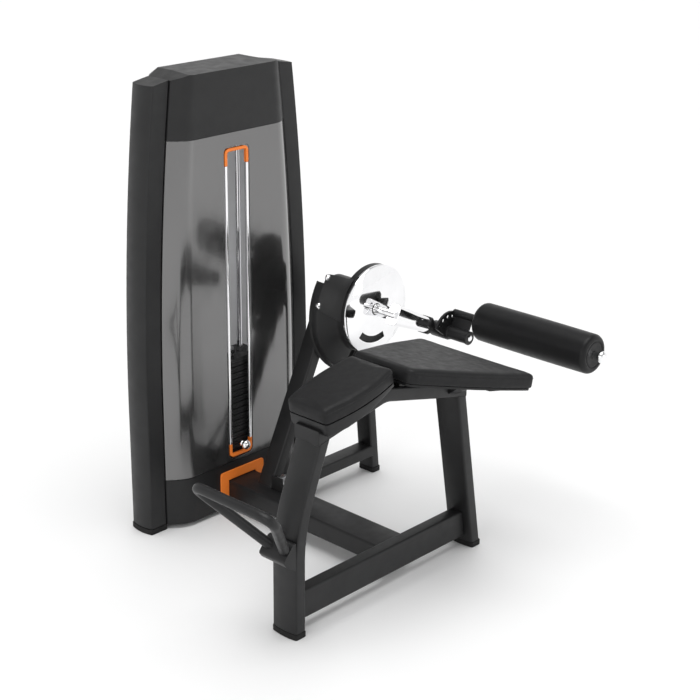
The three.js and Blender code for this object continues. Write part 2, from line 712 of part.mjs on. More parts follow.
// The belt leaves the foot pulley flat across X and turns a quarter before it meets the cam
// on the far side, where a rising roller pulls it up.
function driveBelt() {
  const foot = { x: FOOT_PULLEY.x + FOOT_PULLEY.radius + 2.5, y: FOOT_PULLEY.y, z: FOOT_PULLEY.z };
  const way = new THREE.Vector2(PIVOT.y - foot.y, PIVOT.z - foot.z);
  const radius = CAM_RADIUS + 2;
  const reach = Math.sqrt(way.lengthSq() - radius ** 2);
  const angle = Math.atan2(way.y, way.x) - Math.atan2(radius, reach);
  const strip = extrude(roundedRect(BELT_WIDTH, 3, 1), 0, 1, { steps: 12, curveSegments: 1 });
  return warp(strip, (p) => {
    const turn = (1 - p.z) * 0.5 * Math.PI;
    const across = p.x * Math.cos(turn) - p.y * Math.sin(turn);
    const through = p.x * Math.sin(turn) + p.y * Math.cos(turn);
    const along = p.z * (reach - 2);
    p.set(
      THREE.MathUtils.lerp(foot.x, CAM_X, p.z) + across,
      foot.y + along * Math.cos(angle) + through * Math.sin(angle),
      foot.z + along * Math.sin(angle) - through * Math.cos(angle));
  });
}

function buildRear(rear) {
  const headTool = rod(HEAD_RADIUS + GAP, 100, 300, "x", 40).translate(0, PIVOT.y, PIVOT.z);
  add(rear, "pivot_post", pivotPost(headTool), BLACK);
  add(rear, "rear_leg", rearLeg(headTool), BLACK);
  add(rear, "rear_foot", footCap(REAR_TUBE_X + 4, REAR_LEG_WIDTH + 3, REAR_X, REAR_LEG_Y), RUBBER);
  add(rear, "rear_rail", rearRail(), BLACK);
  add(rear, "pivot_head", pivotHead(), BLACK);
  add(rear, "cam_guard", camGuard(), BLACK);
  add(rear, "guard_plate", guardPlate(), BLACK);
  add(rear, "foot_pulley_block", footPulleyBlock(), BLACK);
  const wheel = pulley(FOOT_PULLEY.radius, BELT_WIDTH + 9).rotateZ(Math.PI / 2);
  add(rear, "foot_pulley", wheel, STEEL).position.set(FOOT_PULLEY.x, FOOT_PULLEY.y, FOOT_PULLEY.z);
  add(rear, "drive_belt", driveBelt(), RUBBER);
}

// ---------- pads ----------
function padOutline(halfStart, halfEnd, length, radius, bulge = 0) {
  const shape = new THREE.Shape();
  const side = new THREE.Vector2(halfEnd - halfStart, length).normalize();
  shape.moveTo(-halfStart + radius, 0);
  shape.lineTo(halfStart - radius, 0);
  shape.quadraticCurveTo(halfStart, 0, halfStart + side.x * radius, side.y * radius);
  shape.lineTo(halfEnd - side.x * radius, length - side.y * radius);
  shape.quadraticCurveTo(halfEnd, length, halfEnd - radius, length + bulge * 0.1);
  shape.quadraticCurveTo(0, length + bulge, -halfEnd + radius, length + bulge * 0.1);
  shape.quadraticCurveTo(-halfEnd, length, -halfEnd + side.x * radius, length - side.y * radius);
  shape.lineTo(-halfStart - side.x * radius, side.y * radius);
  shape.quadraticCurveTo(-halfStart, 0, -halfStart + radius, 0);
  return shape;
}

const CHEST = { y: -347, z: 688, slope: 0.206, length: 280, half: [76, 88], thick: 46, tray: 40 };
const THIGH = { y: -33, z: 735, slope: -0.2385, length: 452, half: [113, 230], thick: 44 };

function padFrame(pad) {
  const group = new THREE.Group();
  group.position.set(BENCH_X, pad.y, pad.z);
  group.rotation.x = Math.atan(pad.slope);
  return group;
}

// The rail's outline in the pad's own frame, so that a tray can be cut to sit over the rail.
function railTool(pad, extra) {
  const half = LEG_X / 2 + extra;
  const solid = alongX(railOutline(RAIL_HEIGHT / 2 + extra), BENCH_X - half, BENCH_X + half);
  solid.translate(-BENCH_X, -pad.y, -pad.z);
  solid.rotateX(-Math.atan(pad.slope));
  return solid;
}

// Solid support between the thigh pad's plate and the rail.
function thighGusset() {
  const top = -THIGH.thick - 7;
  return alongX(polygon([[50, top], [50, top - 60], [300, top - 60], [330, top - 20], [395, top - 4], [395, top]]),
    -40, 40);
}

function buildPads(pads) {
  const chest = padFrame(CHEST);
  const thigh = padFrame(THIGH);
  pads.add(chest, thigh);
  const [headHalf, hipHalf] = CHEST.half;
  const chestShape = padOutline(headHalf, hipHalf, CHEST.length, 26);
  add(chest, "chest_pad", extrude(chestShape, -CHEST.thick, 0), VINYL);
  const trayShape = padOutline(headHalf - 3, hipHalf - 3, CHEST.length - 4, 24);
  const tray = extrude(trayShape, -CHEST.thick - CHEST.tray, -CHEST.thick - 0.6).translate(0, 2, 0);
  add(chest, "chest_pad_tray", cut(tray, railTool(CHEST, 0.6)), BLACK);
  const [waistHalf, kneeHalf] = THIGH.half;
  add(thigh, "thigh_pad", extrude(padOutline(waistHalf, kneeHalf, THIGH.length, 30), -THIGH.thick, 0), VINYL);
  const plate = extrude(padOutline(70, 150, THIGH.length - 70, 20), -THIGH.thick - 8, -THIGH.thick - 0.6);
  const seat = cut(join(plate.translate(0, 30, 0), thighGusset()), railTool(THIGH, 0.6));
  add(thigh, "thigh_pad_bracket", seat, BLACK);
}

// ---------- swinging arm ----------
function chromeDisc() {
  const round = rod(DISC_RADIUS, CHROME_DISC[0], CHROME_DISC[1], "x", 64);
  const slot = alongX(sector(72, 100, 232, 296), 300, 400, { curveSegments: 10 });
  return cut(round, slot);
}

function camWheel() {
  const wheel = rod(CAM_RADIUS, CAM_X - 14, CAM_X + 14, "x", 48);
  return cut(wheel, rod(SHAFT_RADIUS + GAP, 0, 500, "x", 32));
}

const armWay = new THREE.Vector2(SLEEVE.y - PIVOT.y, SLEEVE.z - PIVOT.z);
const armAngle = Math.atan2(armWay.y, armWay.x);
const armLength = armWay.length();

const SOCKET_REACH = 84;          // the socket's length past the chrome lever

function leverArm() {
  const reach = armLength - SOCKET_REACH;
  const [start, end] = ARM_DEPTH.map((depth) => depth / 2);
  const bar = alongX(polygon([[3, -start], [reach, -end], [reach, end], [3, start]]), ARM_X[0], ARM_X[1]);
  bar.rotateX(armAngle);
  return cut(bar, rod(HUB_RADIUS + GAP, 300, 500, "x", 36));
}

function armSocket() {
  const bar = alongX(roundedRect(110, 46, 8, armLength - 28, 0), ARM_X[0] + 2, ARM_X[1] - 2);
  bar.rotateX(armAngle);
  const eye = rod(26, ARM_X[0] + 2, INDEX_X[0] - GAP - 1, "x", 28).translate(0, armWay.x, armWay.y);
  const bar2 = join(bar, eye);
  const reach = armLength - SOCKET_REACH + GAP;
  const lever = alongX(roundedRect(reach, 80, 1, reach / 2, 0), 380, 480).rotateX(armAngle);
  const bore = rod(10 + GAP, 300, 600, "x", 24).translate(0, armWay.x, armWay.y);
  const pin = pinPlace();
  const pinBore = rod(7 + GAP, 300, 600, "x", 20).translate(0, pin.y, pin.z);
  const ear = rod(13, ARM_X[0] + 20, INDEX_X[0] - GAP - 1, "x", 20).translate(0, pin.y, pin.z);
  return cut(join(bar2, ear), lever, bore, pinBore);
}

function pinPlace() {
  const angle = THREE.MathUtils.degToRad(HOLE_FIRST + 3 * HOLE_STEP);
  return { y: armWay.x + HOLE_CIRCLE * Math.cos(angle), z: armWay.y + HOLE_CIRCLE * Math.sin(angle) };
}

function popPin() {
  const shank = rod(7, ARM_X[0] - 10, INDEX_X[0] - GAP, "x", 20);
  const knob = rod(12, ARM_X[0] - 24, ARM_X[0] + 2 - GAP, "x", 24);
  return join(shank, knob);
}

function indexPlate() {
  const shape = sector(0.01, INDEX_RADIUS, 52, 158);
  const plate = alongX(shape, INDEX_X[0], INDEX_X[1], { curveSegments: 16 });
  const hub = rod(26, INDEX_X[0], INDEX_X[1], "x", 28);
  const holes = [0, 1, 2, 3].map((i) => {
    const angle = THREE.MathUtils.degToRad(HOLE_FIRST + i * HOLE_STEP);
    return rod(7.5, 400, 500, "x", 16)
      .translate(0, HOLE_CIRCLE * Math.cos(angle), HOLE_CIRCLE * Math.sin(angle));
  });
  const sleeve = rod(SLEEVE_RADIUS, INDEX_X[1] - 1, 558, "x", 28);
  const bore = rod(10 + GAP, 400, 600, "x", 24);
  return cut(join(plate, hub, sleeve), bore, ...holes);
}

const rollerWay = new THREE.Vector2(ROLLER.y - SLEEVE.y, ROLLER.z - SLEEVE.z);

function rollerAxle() {
  const angle = Math.atan2(rollerWay.y, rollerWay.x);
  const web = alongX(roundedRect(rollerWay.length() - 14, 9, 3, rollerWay.length() / 2 + 8, 0),
    INDEX_X[1] + GAP, 545).rotateX(angle);
  const bar = rod(12, INDEX_X[1] + GAP, ROLLER_X[1] - 40, "x", 24).translate(0, rollerWay.x, rollerWay.y);
  return cut(join(web, bar), rod(SLEEVE_RADIUS + GAP, 400, 600, "x", 28));
}

function legRoller() {
  const [start, end] = ROLLER_X;
  const edge = 14;
  const r = ROLLER_RADIUS;
  const bore = 12 + GAP;
  const points = [[bore, start], [r - edge, start], [r - edge * 0.3, start + edge * 0.3], [r, start + edge],
    [r, end - edge], [r - edge * 0.3, end - edge * 0.3], [r - edge, end], [bore, end], [bore, start]];
  const profile = points.map(([radius, x]) => new THREE.Vector2(radius, x));
  return new THREE.LatheGeometry(profile, 32).rotateZ(-Math.PI / 2);
}

function rollerKnob() {
  const neck = rod(11.5, ROLLER_X[1] - 38, ROLLER_X[1] + 14, "x", 24);
  const knob = new THREE.SphereGeometry(19, 22, 14).scale(0.8, 1, 1).translate(ROLLER_X[1] + 26, 0, 0);
  return join(neck, knob);
}

function buildArm(arm) {
  arm.position.set(0, PIVOT.y, PIVOT.z);
  add(arm, "pivot_shaft", rod(SHAFT_RADIUS, 150, INNER_DISC[0] - GAP, "x", 32), STEEL);
  add(arm, "drive_cam", camWheel(), BLACK);
  add(arm, "inner_disc", rod(DISC_RADIUS, INNER_DISC[0], INNER_DISC[1], "x", 64), BLACK);
  add(arm, "chrome_disc", chromeDisc(), CHROME);
  add(arm, "arm_hub", rod(HUB_RADIUS, CHROME_DISC[1] + GAP, ARM_X[1] - 4, "x", 36), CHROME);
  add(arm, "lever_arm", leverArm(), CHROME);
  add(arm, "arm_socket", armSocket(), BLACK);
  const pin = pinPlace();
  add(arm, "pop_pin", popPin(), CHROME).position.set(0, pin.y, pin.z);
  const bracket = new THREE.Group();
  bracket.position.set(0, armWay.x, armWay.y);
  arm.add(bracket);
  add(bracket, "index_plate", indexPlate(), BLACK);
  add(bracket, "sleeve_pin", rod(10, ARM_X[0] - 4, 562, "x", 24), CHROME);
  add(bracket, "roller_axle", rollerAxle(), BLACK);
  const roller = new THREE.Group();
  roller.position.set(0, rollerWay.x, rollerWay.y);
  bracket.add(roller);
  add(roller, "leg_roller", legRoller(), FOAM);
  add(roller, "roller_knob", rollerKnob(), CHROME);
}

// ---------- assembly ----------
const machine = new THREE.Group();
const tower = new THREE.Group();
const stack = new THREE.Group();
const frame = new THREE.Group();
const rear = new THREE.Group();
const pads = new THREE.Group();
const arm = new THREE.Group();
tower.position.y = TOWER_Y;
stack.position.y = TOWER_Y;
machine.add(tower, stack, frame, rear, pads, arm);
buildTower(tower);
buildStack(stack);
buildFrame(frame);
buildRear(rear);
buildPads(pads);
buildArm(arm);

machine.updateMatrixWorld(true);
const span = new THREE.Box3().setFromObject(machine, true);
const centre = span.getCenter(new THREE.Vector3());
machine.position.set(-centre.x, -centre.y, 0);

export default machine;
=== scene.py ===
"""Looks of a prone leg curl machine: weight tower, bench frame, pads and swinging roller arm.

Every shape below is worked out in the machine's own millimetres: X runs from the tower to the
bench, Y from the head end to the roller end, and Z up from the floor. at() turns such a place
into the frame's metres. A fine piece is named after the CAD node that it stands for.
"""
import json
from math import atan, atan2, cos, hypot, pi, radians, sin, sqrt

import bmesh
import bpy
from mathutils import Matrix, Vector

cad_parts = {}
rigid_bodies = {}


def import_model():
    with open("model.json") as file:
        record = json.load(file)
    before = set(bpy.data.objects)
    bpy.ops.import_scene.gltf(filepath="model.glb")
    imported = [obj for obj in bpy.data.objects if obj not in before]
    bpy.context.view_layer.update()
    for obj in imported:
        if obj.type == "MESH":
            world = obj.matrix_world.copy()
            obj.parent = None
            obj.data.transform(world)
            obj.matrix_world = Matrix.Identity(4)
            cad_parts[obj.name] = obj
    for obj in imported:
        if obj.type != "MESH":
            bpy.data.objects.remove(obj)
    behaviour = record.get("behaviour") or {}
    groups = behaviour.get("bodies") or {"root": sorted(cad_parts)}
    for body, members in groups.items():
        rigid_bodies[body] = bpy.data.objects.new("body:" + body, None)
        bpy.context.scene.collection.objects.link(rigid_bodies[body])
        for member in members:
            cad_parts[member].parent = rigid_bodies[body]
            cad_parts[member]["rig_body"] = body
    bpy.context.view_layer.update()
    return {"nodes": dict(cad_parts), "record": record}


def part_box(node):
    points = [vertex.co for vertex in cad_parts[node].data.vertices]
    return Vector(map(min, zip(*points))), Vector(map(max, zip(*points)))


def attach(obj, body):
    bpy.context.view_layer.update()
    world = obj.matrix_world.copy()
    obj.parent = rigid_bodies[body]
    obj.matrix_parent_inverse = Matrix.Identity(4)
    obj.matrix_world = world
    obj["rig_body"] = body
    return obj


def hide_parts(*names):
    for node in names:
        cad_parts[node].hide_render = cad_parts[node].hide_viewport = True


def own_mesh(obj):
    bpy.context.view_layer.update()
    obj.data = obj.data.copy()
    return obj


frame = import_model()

# ---------- driving dimensions, in millimetres ----------
MM = 0.001
GAP = 0.4  # clearance round a shaft or beside a neighbour
TOWER_Y = 58  # centre of the tower and of the main beam
header_low, header_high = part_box("header")
TOWER_CENTRE = (header_low + header_high) / 2
ORIGIN = Vector((TOWER_CENTRE.x, TOWER_CENTRE.y - TOWER_Y * MM, 0))

COLUMN_DEPTH = 95
COLUMN_OUT = 361  # the column's outer face from the tower's centre
COLUMN_IN = 291
COLUMN_TOP = 1440
COLUMN_BULGE = 9  # the outer face stands out this much in its middle
BOW_START = 400
BOW_TOP = 66
SHROUD_HALF = 289
SHROUD_SIDE_X = 49
SHROUD_FRONT_X = 92
FACET_HALF = 233
FOLD_RADIUS = 42  # soft fold between the flat front and the slanted side
SHEET = 4
SKIRT_BOTTOM = 14
SHROUD_BOTTOM = 172
HEADER_BOTTOM = 1272
ROOF_EDGE = 1450
ROOF_RISE = 16  # the roof's edge is this much higher at the front
ROOF_TOP = 1467
PLATEAU_X = (-72, -12)  # the roof's flat top
PLATEAU_HALF = 166
WINDOW_HALF = 49
WINDOW_BOTTOM = 188
WINDOW_TOP = 1222
WINDOW_GAP = 4  # the opening is this much wider than its trim
TRIM_WIDTH = 10
TRIM_LEG = 54
FOOT_TRIM_LEG = 47

ROD_X = 20
ROD_HALF = 66
LOWER_PLATES = 5
UPPER_PLATES = 13
PLATE_PITCH = 21
PLATE_THICK = 18.5
PLATE_SIZE = (104, 236)
STACK_BOTTOM = 114
UPPER_BOTTOM = STACK_BOTTOM + LOWER_PLATES * PLATE_PITCH
UPPER_TOP = UPPER_BOTTOM + UPPER_PLATES * PLATE_PITCH
TOP_PLATE_THICK = 26
TOP_PULLEY_Z = 1318

MAIN_WIDTH = 120
MAIN_HEIGHT = 62
MAIN_TOP = 111
BENCH_X = 789.5
LEG_SIZE = (95.6, 44)
CROSS_SIZE = (46, 91)
CROSS_LOW = 38
FOOT_HEIGHT = 19
LEFT_LEG_Y = -410.5
LEFT_BEND = 235  # the left leg is upright below this height
LEFT_BEND_LENGTH = 190
LEFT_LEAN = 0.38
RIGHT_LEG_Y = 377.5
RIGHT_LEAN = -0.18
RAIL_PATH = [(-352, 593), (-58, 647), (302, 557)]
RAIL_HEIGHT = 45
GRIP_START = Vector((BENCH_X - 22, -445, 279))
GRIP_CORNER = Vector((BENCH_X - 164, -625, 490))
GRIP_RADIUS = 15

REAR_X = 201
REAR_TUBE_X = 66
REAR_LEG_Y = 569.5
REAR_LEAN = -0.105
POST_FOOT_Y = 79  # centre of the pivot post where it leaves the main beam
POST_LEAN = 0.47
FOOT_PULLEY = (263, TOWER_Y + 20, 131)
PIVOT = (420, 670)  # Y and Z of the arm's axis
HEAD_RADIUS = 76
SHAFT_RADIUS = 20
BORE = SHAFT_RADIUS + GAP
RIM = (457, 651)  # Y and Z of the cam guard's own centre
CAM_X = 262
CAM_RADIUS = 84
DISC_RADIUS = 147
INNER_DISC_X = (320, 343)
CHROME_DISC_X = (344, 354.6)
ARM_X = (402, 450)
ARM_DEPTH = (70, 51)  # the chrome lever at the pivot and at its far end
HUB_RADIUS = 13
SLEEVE = (657, 559)
SLEEVE_END = 558
INDEX_X = (463, 471)
INDEX_RADIUS = 72
HOLE_CIRCLE = 56
HOLE_FIRST = 72  # degrees to the first index hole
HOLE_STEP = 25
PINNED_HOLE = 3  # the hole that the pop pin sits at
ROLLER = (688, 619)
ROLLER_X = (582, 1030)
ROLLER_RADIUS = 64

# Each pad: its head end's place, its length along the slope, half width at both ends, how far the
# long sides bulge, and the radius of the corners at both ends.
CHEST = {"y": -347, "z": 688, "slope": 0.206, "length": 280, "half": (76, 83), "bulge": 17,
         "corners": (26, 36), "thick": 46}
THIGH = {"y": -33, "z": 735, "slope": -0.2385, "length": 452, "half": (113, 230), "bulge": 14,
         "corners": (60, 26), "thick": 44}
PAD_PUFF = 2


def at(x, y, z):
    """A place in the machine's millimetres, in the frame's metres."""
    return ORIGIN + Vector((x, y, z)) * MM


# ---------- materials ----------
def shader_of(made):
    return made.node_tree.nodes["Principled BSDF"]


def material(name, color, roughness, metallic=0.0, **sockets):
    made = bpy.data.materials.new(name)
    made.use_nodes = True
    values = {"Base Color": (*color, 1), "Roughness": roughness, "Metallic": metallic, **sockets}
    for socket, value in values.items():
        shader_of(made).inputs[socket.replace("_", " ")].default_value = value
    return made


def add_node(made, kind, **values):
    node = made.node_tree.nodes.new(kind)
    for key, value in values.items():
        if key in node.inputs:
            node.inputs[key].default_value = value
        else:
            setattr(node, key, value)
    return node


def link(made, source, target):
    made.node_tree.links.new(source, target)


def place_node(made):
    """The piece's own coordinates, in metres."""
    return add_node(made, "ShaderNodeTexCoord").outputs["Object"]


def noise(made, scale, detail, stretch=(1, 1, 1)):
    mapping = add_node(made, "ShaderNodeMapping", Scale=stretch)
    link(made, place_node(made), mapping.inputs["Vector"])
    node = add_node(made, "ShaderNodeTexNoise", Scale=scale, Detail=detail)
    link(made, mapping.outputs["Vector"], node.inputs["Vector"])
    return node.outputs["Fac"]


def vary_color(made, factor, low, high):
    ramp = add_node(made, "ShaderNodeValToRGB")
    for element, place, color in zip(ramp.color_ramp.elements, (0.3, 0.7), (low, high)):
        element.position = place
        element.color = (*color, 1)
    link(made, factor, ramp.inputs["Fac"])
    link(made, ramp.outputs["Color"], shader_of(made).inputs["Base Color"])


def map_range(made, factor, *limits):
    """Maps a factor from its first two limits to the other two."""
    node = add_node(made, "ShaderNodeMapRange")
    for socket, value in zip(("From Min", "From Max", "To Min", "To Max"), limits):
        node.inputs[socket].default_value = value
    link(made, factor, node.inputs["Value"])
    return node.outputs["Result"]


def vary_roughness(made, factor, low, high):
    result = map_range(made, factor, 0.3, 0.7, low, high)
    link(made, result, shader_of(made).inputs["Roughness"])


def add_bump(made, height, distance, strength=1.0):
    """Adds a bump on top of any bump the material has."""
    normal = shader_of(made).inputs["Normal"]
    node = add_node(made, "ShaderNodeBump", Strength=strength, Distance=distance)
    link(made, height, node.inputs["Height"])
    if normal.links:
        link(made, normal.links[0].from_socket, node.inputs["Normal"])
    link(made, node.outputs["Normal"], normal)


def grainy(name, low, high, clouds, sheen, patches, grain, depth, strength, metallic=0.0, **sockets):
    """Finish with clouds of color, patches of sheen and a fine grain in its surface.

    Clouds, patches and grain are each a noise's scale and detail, and its stretch if it has one.
    """
    middle = tuple((a + b) / 2 for a, b in zip(low, high))
    made = material(name, middle, sum(sheen) / 2, metallic, **sockets)
    vary_color(made, noise(made, *clouds), low, high)
    vary_roughness(made, noise(made, *patches), *sheen)
    add_bump(made, noise(made, *grain), depth, strength)
    return made


def powder_coat(name, low, high, roughness):
    """Satin powder coat: a fine orange-peel grain with faint cloudy changes of sheen."""
    sheen = (roughness - 0.05, roughness + 0.07)
    return grainy(name, low, high, (9, 4), sheen, (30, 5), (900, 2), 0.00012, 0.5, Specular_IOR_Level=0.35)


def glossy_shroud():
    """Dark metallic lacquer: fine flakes under a clear coat, on a sheet with faint upright waves."""
    waves = (16, 1, (1, 1, 0.02))
    return grainy("shroud_lacquer", (0.150, 0.149, 0.149), (0.195, 0.193, 0.193), (2400, 1), (0.13, 0.2),
                  (14, 4), waves, 0.004, 0.5, 0.9, Coat_Weight=0.5, Coat_Roughness=0.05)


def chrome(name="polished_chrome"):
    made = material(name, (0.93, 0.93, 0.94), 0.05, 1.0)
    vary_color(made, noise(made, 20, 3), (0.9, 0.9, 0.91), (0.95, 0.95, 0.96))
    vary_roughness(made, noise(made, 60, 6), 0.03, 0.08)
    return made


def spun_chrome():
    """Chrome of the round disc, whose face is spun slightly domed about the arm's axis."""
    made = chrome("spun_chrome")
    dome_radius = 0.42
    centre = at(0, *PIVOT)
    flat = add_node(made, "ShaderNodeMapping", Scale=(0, 1, 1), Location=(0, -centre.y, -centre.z))
    link(made, place_node(made), flat.inputs["Vector"])
    square = add_node(made, "ShaderNodeVectorMath", operation="DOT_PRODUCT")
    for socket in square.inputs[:2]:
        link(made, flat.outputs["Vector"], socket)
    height = add_node(made, "ShaderNodeMath", operation="MULTIPLY")
    link(made, square.outputs["Value"], height.inputs[0])
    height.inputs[1].default_value = -0.5 / dome_radius
    add_bump(made, height.outputs["Value"], 1.0)
    return made


def grained_vinyl(name, color, roughness, pore):
    """Upholstery vinyl: small closed cells pressed into a soft, slightly uneven skin."""
    high = tuple(1.25 * c for c in color)
    sheen = (roughness - 0.05, roughness + 0.08)
    made = grainy(name, color, high, (22, 4), sheen, (45, 5), (8, 1), 0.0004, 0.04, Specular_IOR_Level=0.24)
    cells = add_node(made, "ShaderNodeTexVoronoi", feature="DISTANCE_TO_EDGE", Scale=pore)
    link(made, place_node(made), cells.inputs["Vector"])
    add_bump(made, cells.outputs["Distance"], 0.0002, 0.3)
    return made


BLACK = powder_coat("black_powder_coat", (0.0085, 0.0085, 0.009), (0.0125, 0.0125, 0.013), 0.42)
ORANGE = powder_coat("orange_powder_coat", (0.88, 0.215, 0.03), (0.95, 0.245, 0.038), 0.35)
SHROUD = glossy_shroud()
CHROME = chrome()
DISC_CHROME = spun_chrome()
VINYL = grained_vinyl("black_vinyl", (0.008, 0.008, 0.0085), 0.48, 900)
ROLLER_VINYL = grained_vinyl("roller_vinyl", (0.006, 0.006, 0.0065), 0.4, 1300)
STEEL = grainy("turned_steel", (0.42, 0.42, 0.43), (0.56, 0.56, 0.57), (40, 4), (0.22, 0.38),
               (600, 2, (1, 6, 6)), (700, 2, (6, 1, 1)), 0.00008, 0.4, 0.95)
# Grey of the shroud sheets' inner faces: the panel's own grey, made much lighter as painted light standing
# in for the light that falls inside the tower.
PANEL_WITH_PAINTED_LIGHT = grainy("inner_panel_painted_light", (0.66, 0.66, 0.67), (0.74, 0.74, 0.75), (6, 3), (0.42, 0.55),
               (50, 3), (800, 2), 0.0001, 0.4)
IRON = grainy("cast_iron", (0.006, 0.006, 0.0065), (0.015, 0.015, 0.0155), (60, 5), (0.34, 0.52),
              (90, 4), (420, 4), 0.0004, 0.6, Specular_IOR_Level=0.3)
BELT = grainy("belt_rubber", (0.007, 0.007, 0.007), (0.016, 0.016, 0.016), (80, 4), (0.5, 0.7),
              (120, 3), (500, 2, (1, 1, 0.1)), 0.0003, 0.6, Specular_IOR_Level=0.3)
RUBBER = grainy("foot_rubber", (0.007, 0.007, 0.007), (0.015, 0.0145, 0.014), (50, 5), (0.6, 0.8),
                (70, 4), (700, 3), 0.0003, 0.5, Specular_IOR_Level=0.25)
PLASTIC = grainy("moulded_plastic", (0.007, 0.007, 0.0075), (0.013, 0.013, 0.0135), (30, 3),
                 (0.34, 0.46), (300, 3), (1500, 2), 0.0001, 0.5, Specular_IOR_Level=0.3)

SLOT_OF = {part["node"]: part["material_slot"] for part in frame["record"]["subparts"]}


# ---------- making pieces ----------
def add_object(name, data):
    obj = bpy.data.objects.new(name, data)
    bpy.context.scene.collection.objects.link(obj)
    return obj


def new_object(name, points, faces):
    mesh = bpy.data.meshes.new(name)
    mesh.from_pydata([at(*p) for p in points], [], faces)
    obj = add_object(name, mesh)
    edit = bmesh.new()
    edit.from_mesh(mesh)
    bmesh.ops.remove_doubles(edit, verts=edit.verts, dist=0.02 * MM)
    bmesh.ops.recalc_face_normals(edit, faces=edit.faces)
    edit.to_mesh(mesh)
    edit.free()
    return obj


def smooth(obj, angle):
    obj.data.shade_smooth()
    obj.data.set_sharp_from_angle(angle=radians(angle))


def soften(obj, width, segments, angle):
    """Rounds the edges that are sharper than the angle, as a modifier."""
    bevel = obj.modifiers.new("edges", "BEVEL")
    bevel.width = width * MM
    bevel.segments = segments
    bevel.limit_method = "ANGLE"
    bevel.angle_limit = radians(angle)
    bevel.harden_normals = True
    return bevel


def thicken(obj, thickness, inner=None):
    """Gives a sheet its thickness on the inside, with its own material there if one is given."""
    solid = obj.modifiers.new("sheet", "SOLIDIFY")
    solid.thickness = thickness * MM
    solid.offset = -1
    if inner:
        obj.data.materials.append(inner)
        solid.material_offset = 1


def apply_modifiers(obj):
    graph = bpy.context.evaluated_depsgraph_get()
    before = obj.data
    made = bpy.data.meshes.new_from_object(obj.evaluated_get(graph), depsgraph=graph)
    obj.modifiers.clear()
    obj.data = made
    bpy.data.meshes.remove(before)


def carve(obj, *tools):
    """Cuts the tools out of a piece."""
    for tool in tools:
        boolean = obj.modifiers.new("cut", "BOOLEAN")
        boolean.operation = "DIFFERENCE"
        boolean.solver = "EXACT"
        boolean.object = tool
    apply_modifiers(obj)
    for tool in tools:
        bpy.data.objects.remove(tool)


def stand_for(node, shape, look, edge=0, angle=35):
    """A fine piece in place of a CAD node, on the same body."""
    obj = detail(f"{node}_fine", shape, look, frame["nodes"][node]["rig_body"], SLOT_OF[node], edge, angle)
    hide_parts(node)
    return obj


def detail(name, shape, look, body, slot, edge=0, angle=35):
    """A small piece that has no CAD node of its own."""
    obj = new_object(name, *shape)
    obj.data.materials.append(look)
    smooth(obj, angle)
    if edge:
        soften(obj, edge, 3, angle)
    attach(obj, body)
    return obj


def dress(node, look, edge=0, angle=35):
    """Keeps a CAD node's shape and gives it a real finish."""
    obj = frame["nodes"][node]
    obj.data.materials.clear()
    obj.data.materials.append(look)
    smooth(obj, angle)
    if edge:
        soften(obj, edge, 2, angle)


# ---------- shapes ----------
def on_circle(centre, radius, degrees):
    """A point on a circle round a centre."""
    angle = radians(degrees)
    return centre[0] + radius * cos(angle), centre[1] + radius * sin(angle)


def arc(centre, radius, start, end, count):
    return [on_circle(centre, radius, degrees) for degrees in levels(start, end, count)]


def rounded(width, height, radius, x=0, y=0, steps=6):
    """Outline of a rectangle with round corners, anticlockwise."""
    w = width / 2 - radius
    h = height / 2 - radius
    outline = []
    for cx, cy, start in ((x + w, y + h, 0), (x - w, y + h, 90), (x - w, y - h, 180), (x + w, y - h, 270)):
        outline += arc((cx, cy), radius, start, start + 90, steps + 1)
    return outline


def fillet(corners, steps=6, closed=True):
    """Rounds the corners (x, y, radius) of a polygon or an open path."""
    count = len(corners)
    outline = []
    for i, (x, y, radius) in enumerate(corners):
        end = not closed and i in (0, count - 1)
        if radius == 0 or end:
            outline.append((x, y))
            continue
        here = Vector((x, y))
        before = Vector(corners[i - 1][:2]) - here
        after = Vector(corners[(i + 1) % count][:2]) - here
        reach = min(radius, 0.49 * before.length, 0.49 * after.length)
        start = here + before.normalized() * reach
        stop = here + after.normalized() * reach
        for k in range(steps + 1):
            t = k / steps
            point = start * (1 - t) ** 2 + here * 2 * t * (1 - t) + stop * t ** 2
            outline.append((point.x, point.y))
    return outline


def loft(rings, closed=False):
    """Skin over rings of equal length, capped unless its last ring joins its first."""
    size = len(rings[0])
    points = [p for ring in rings for p in ring]
    faces = []
    spans = len(rings) if closed else len(rings) - 1
    for r in range(spans):
        low = r * size
        high = ((r + 1) % len(rings)) * size
        for i in range(size):
            j = (i + 1) % size
            faces.append((low + i, low + j, high + j, high + i))
    if not closed:
        faces.append(tuple(reversed(range(size))))
        faces.append(tuple(range(len(points) - size, len(points))))
    return points, faces


def sheet(rows):
    """Open skin over rows of equal length."""
    size = len(rows[0])
    points = [p for row in rows for p in row]
    faces = []
    for r in range(len(rows) - 1):
        for i in range(size - 1):
            a = r * size + i
            faces.append((a, a + 1, a + size + 1, a + size))
    return points, faces


def tube_x(radius, start, end, centre, edge, sides=48):
    """Round bar along X with eased ends; centre is its (y, z)."""
    profile = [(start, 0), (start, radius - edge), (start + edge, radius),
               (end - edge, radius), (end, radius - edge), (end, 0)]
    return lathe_x(profile, centre, sides)


def lathe_x(profile, centre, sides=64, bored=False):
    """Turns a profile of (x, radius) about an axis along X. A bored profile closes on itself."""
    last = 360 - 360 / sides
    rings = []
    for x, radius in profile:
        rings.append([(x, *spot) for spot in arc(centre, max(radius, 0.01), 0, last, sides)])
    return loft(rings, closed=bored)


def along_x(outline, start, end):
    """Bar along X with an outline of (y, z)."""
    return loft([[(x, y, z) for y, z in outline] for x in (start, end)])


def along_z(outline, start, end):
    """Upright bar with an outline of (x, y)."""
    return loft([[(x, y, z) for x, y in outline] for z in (start, end)])


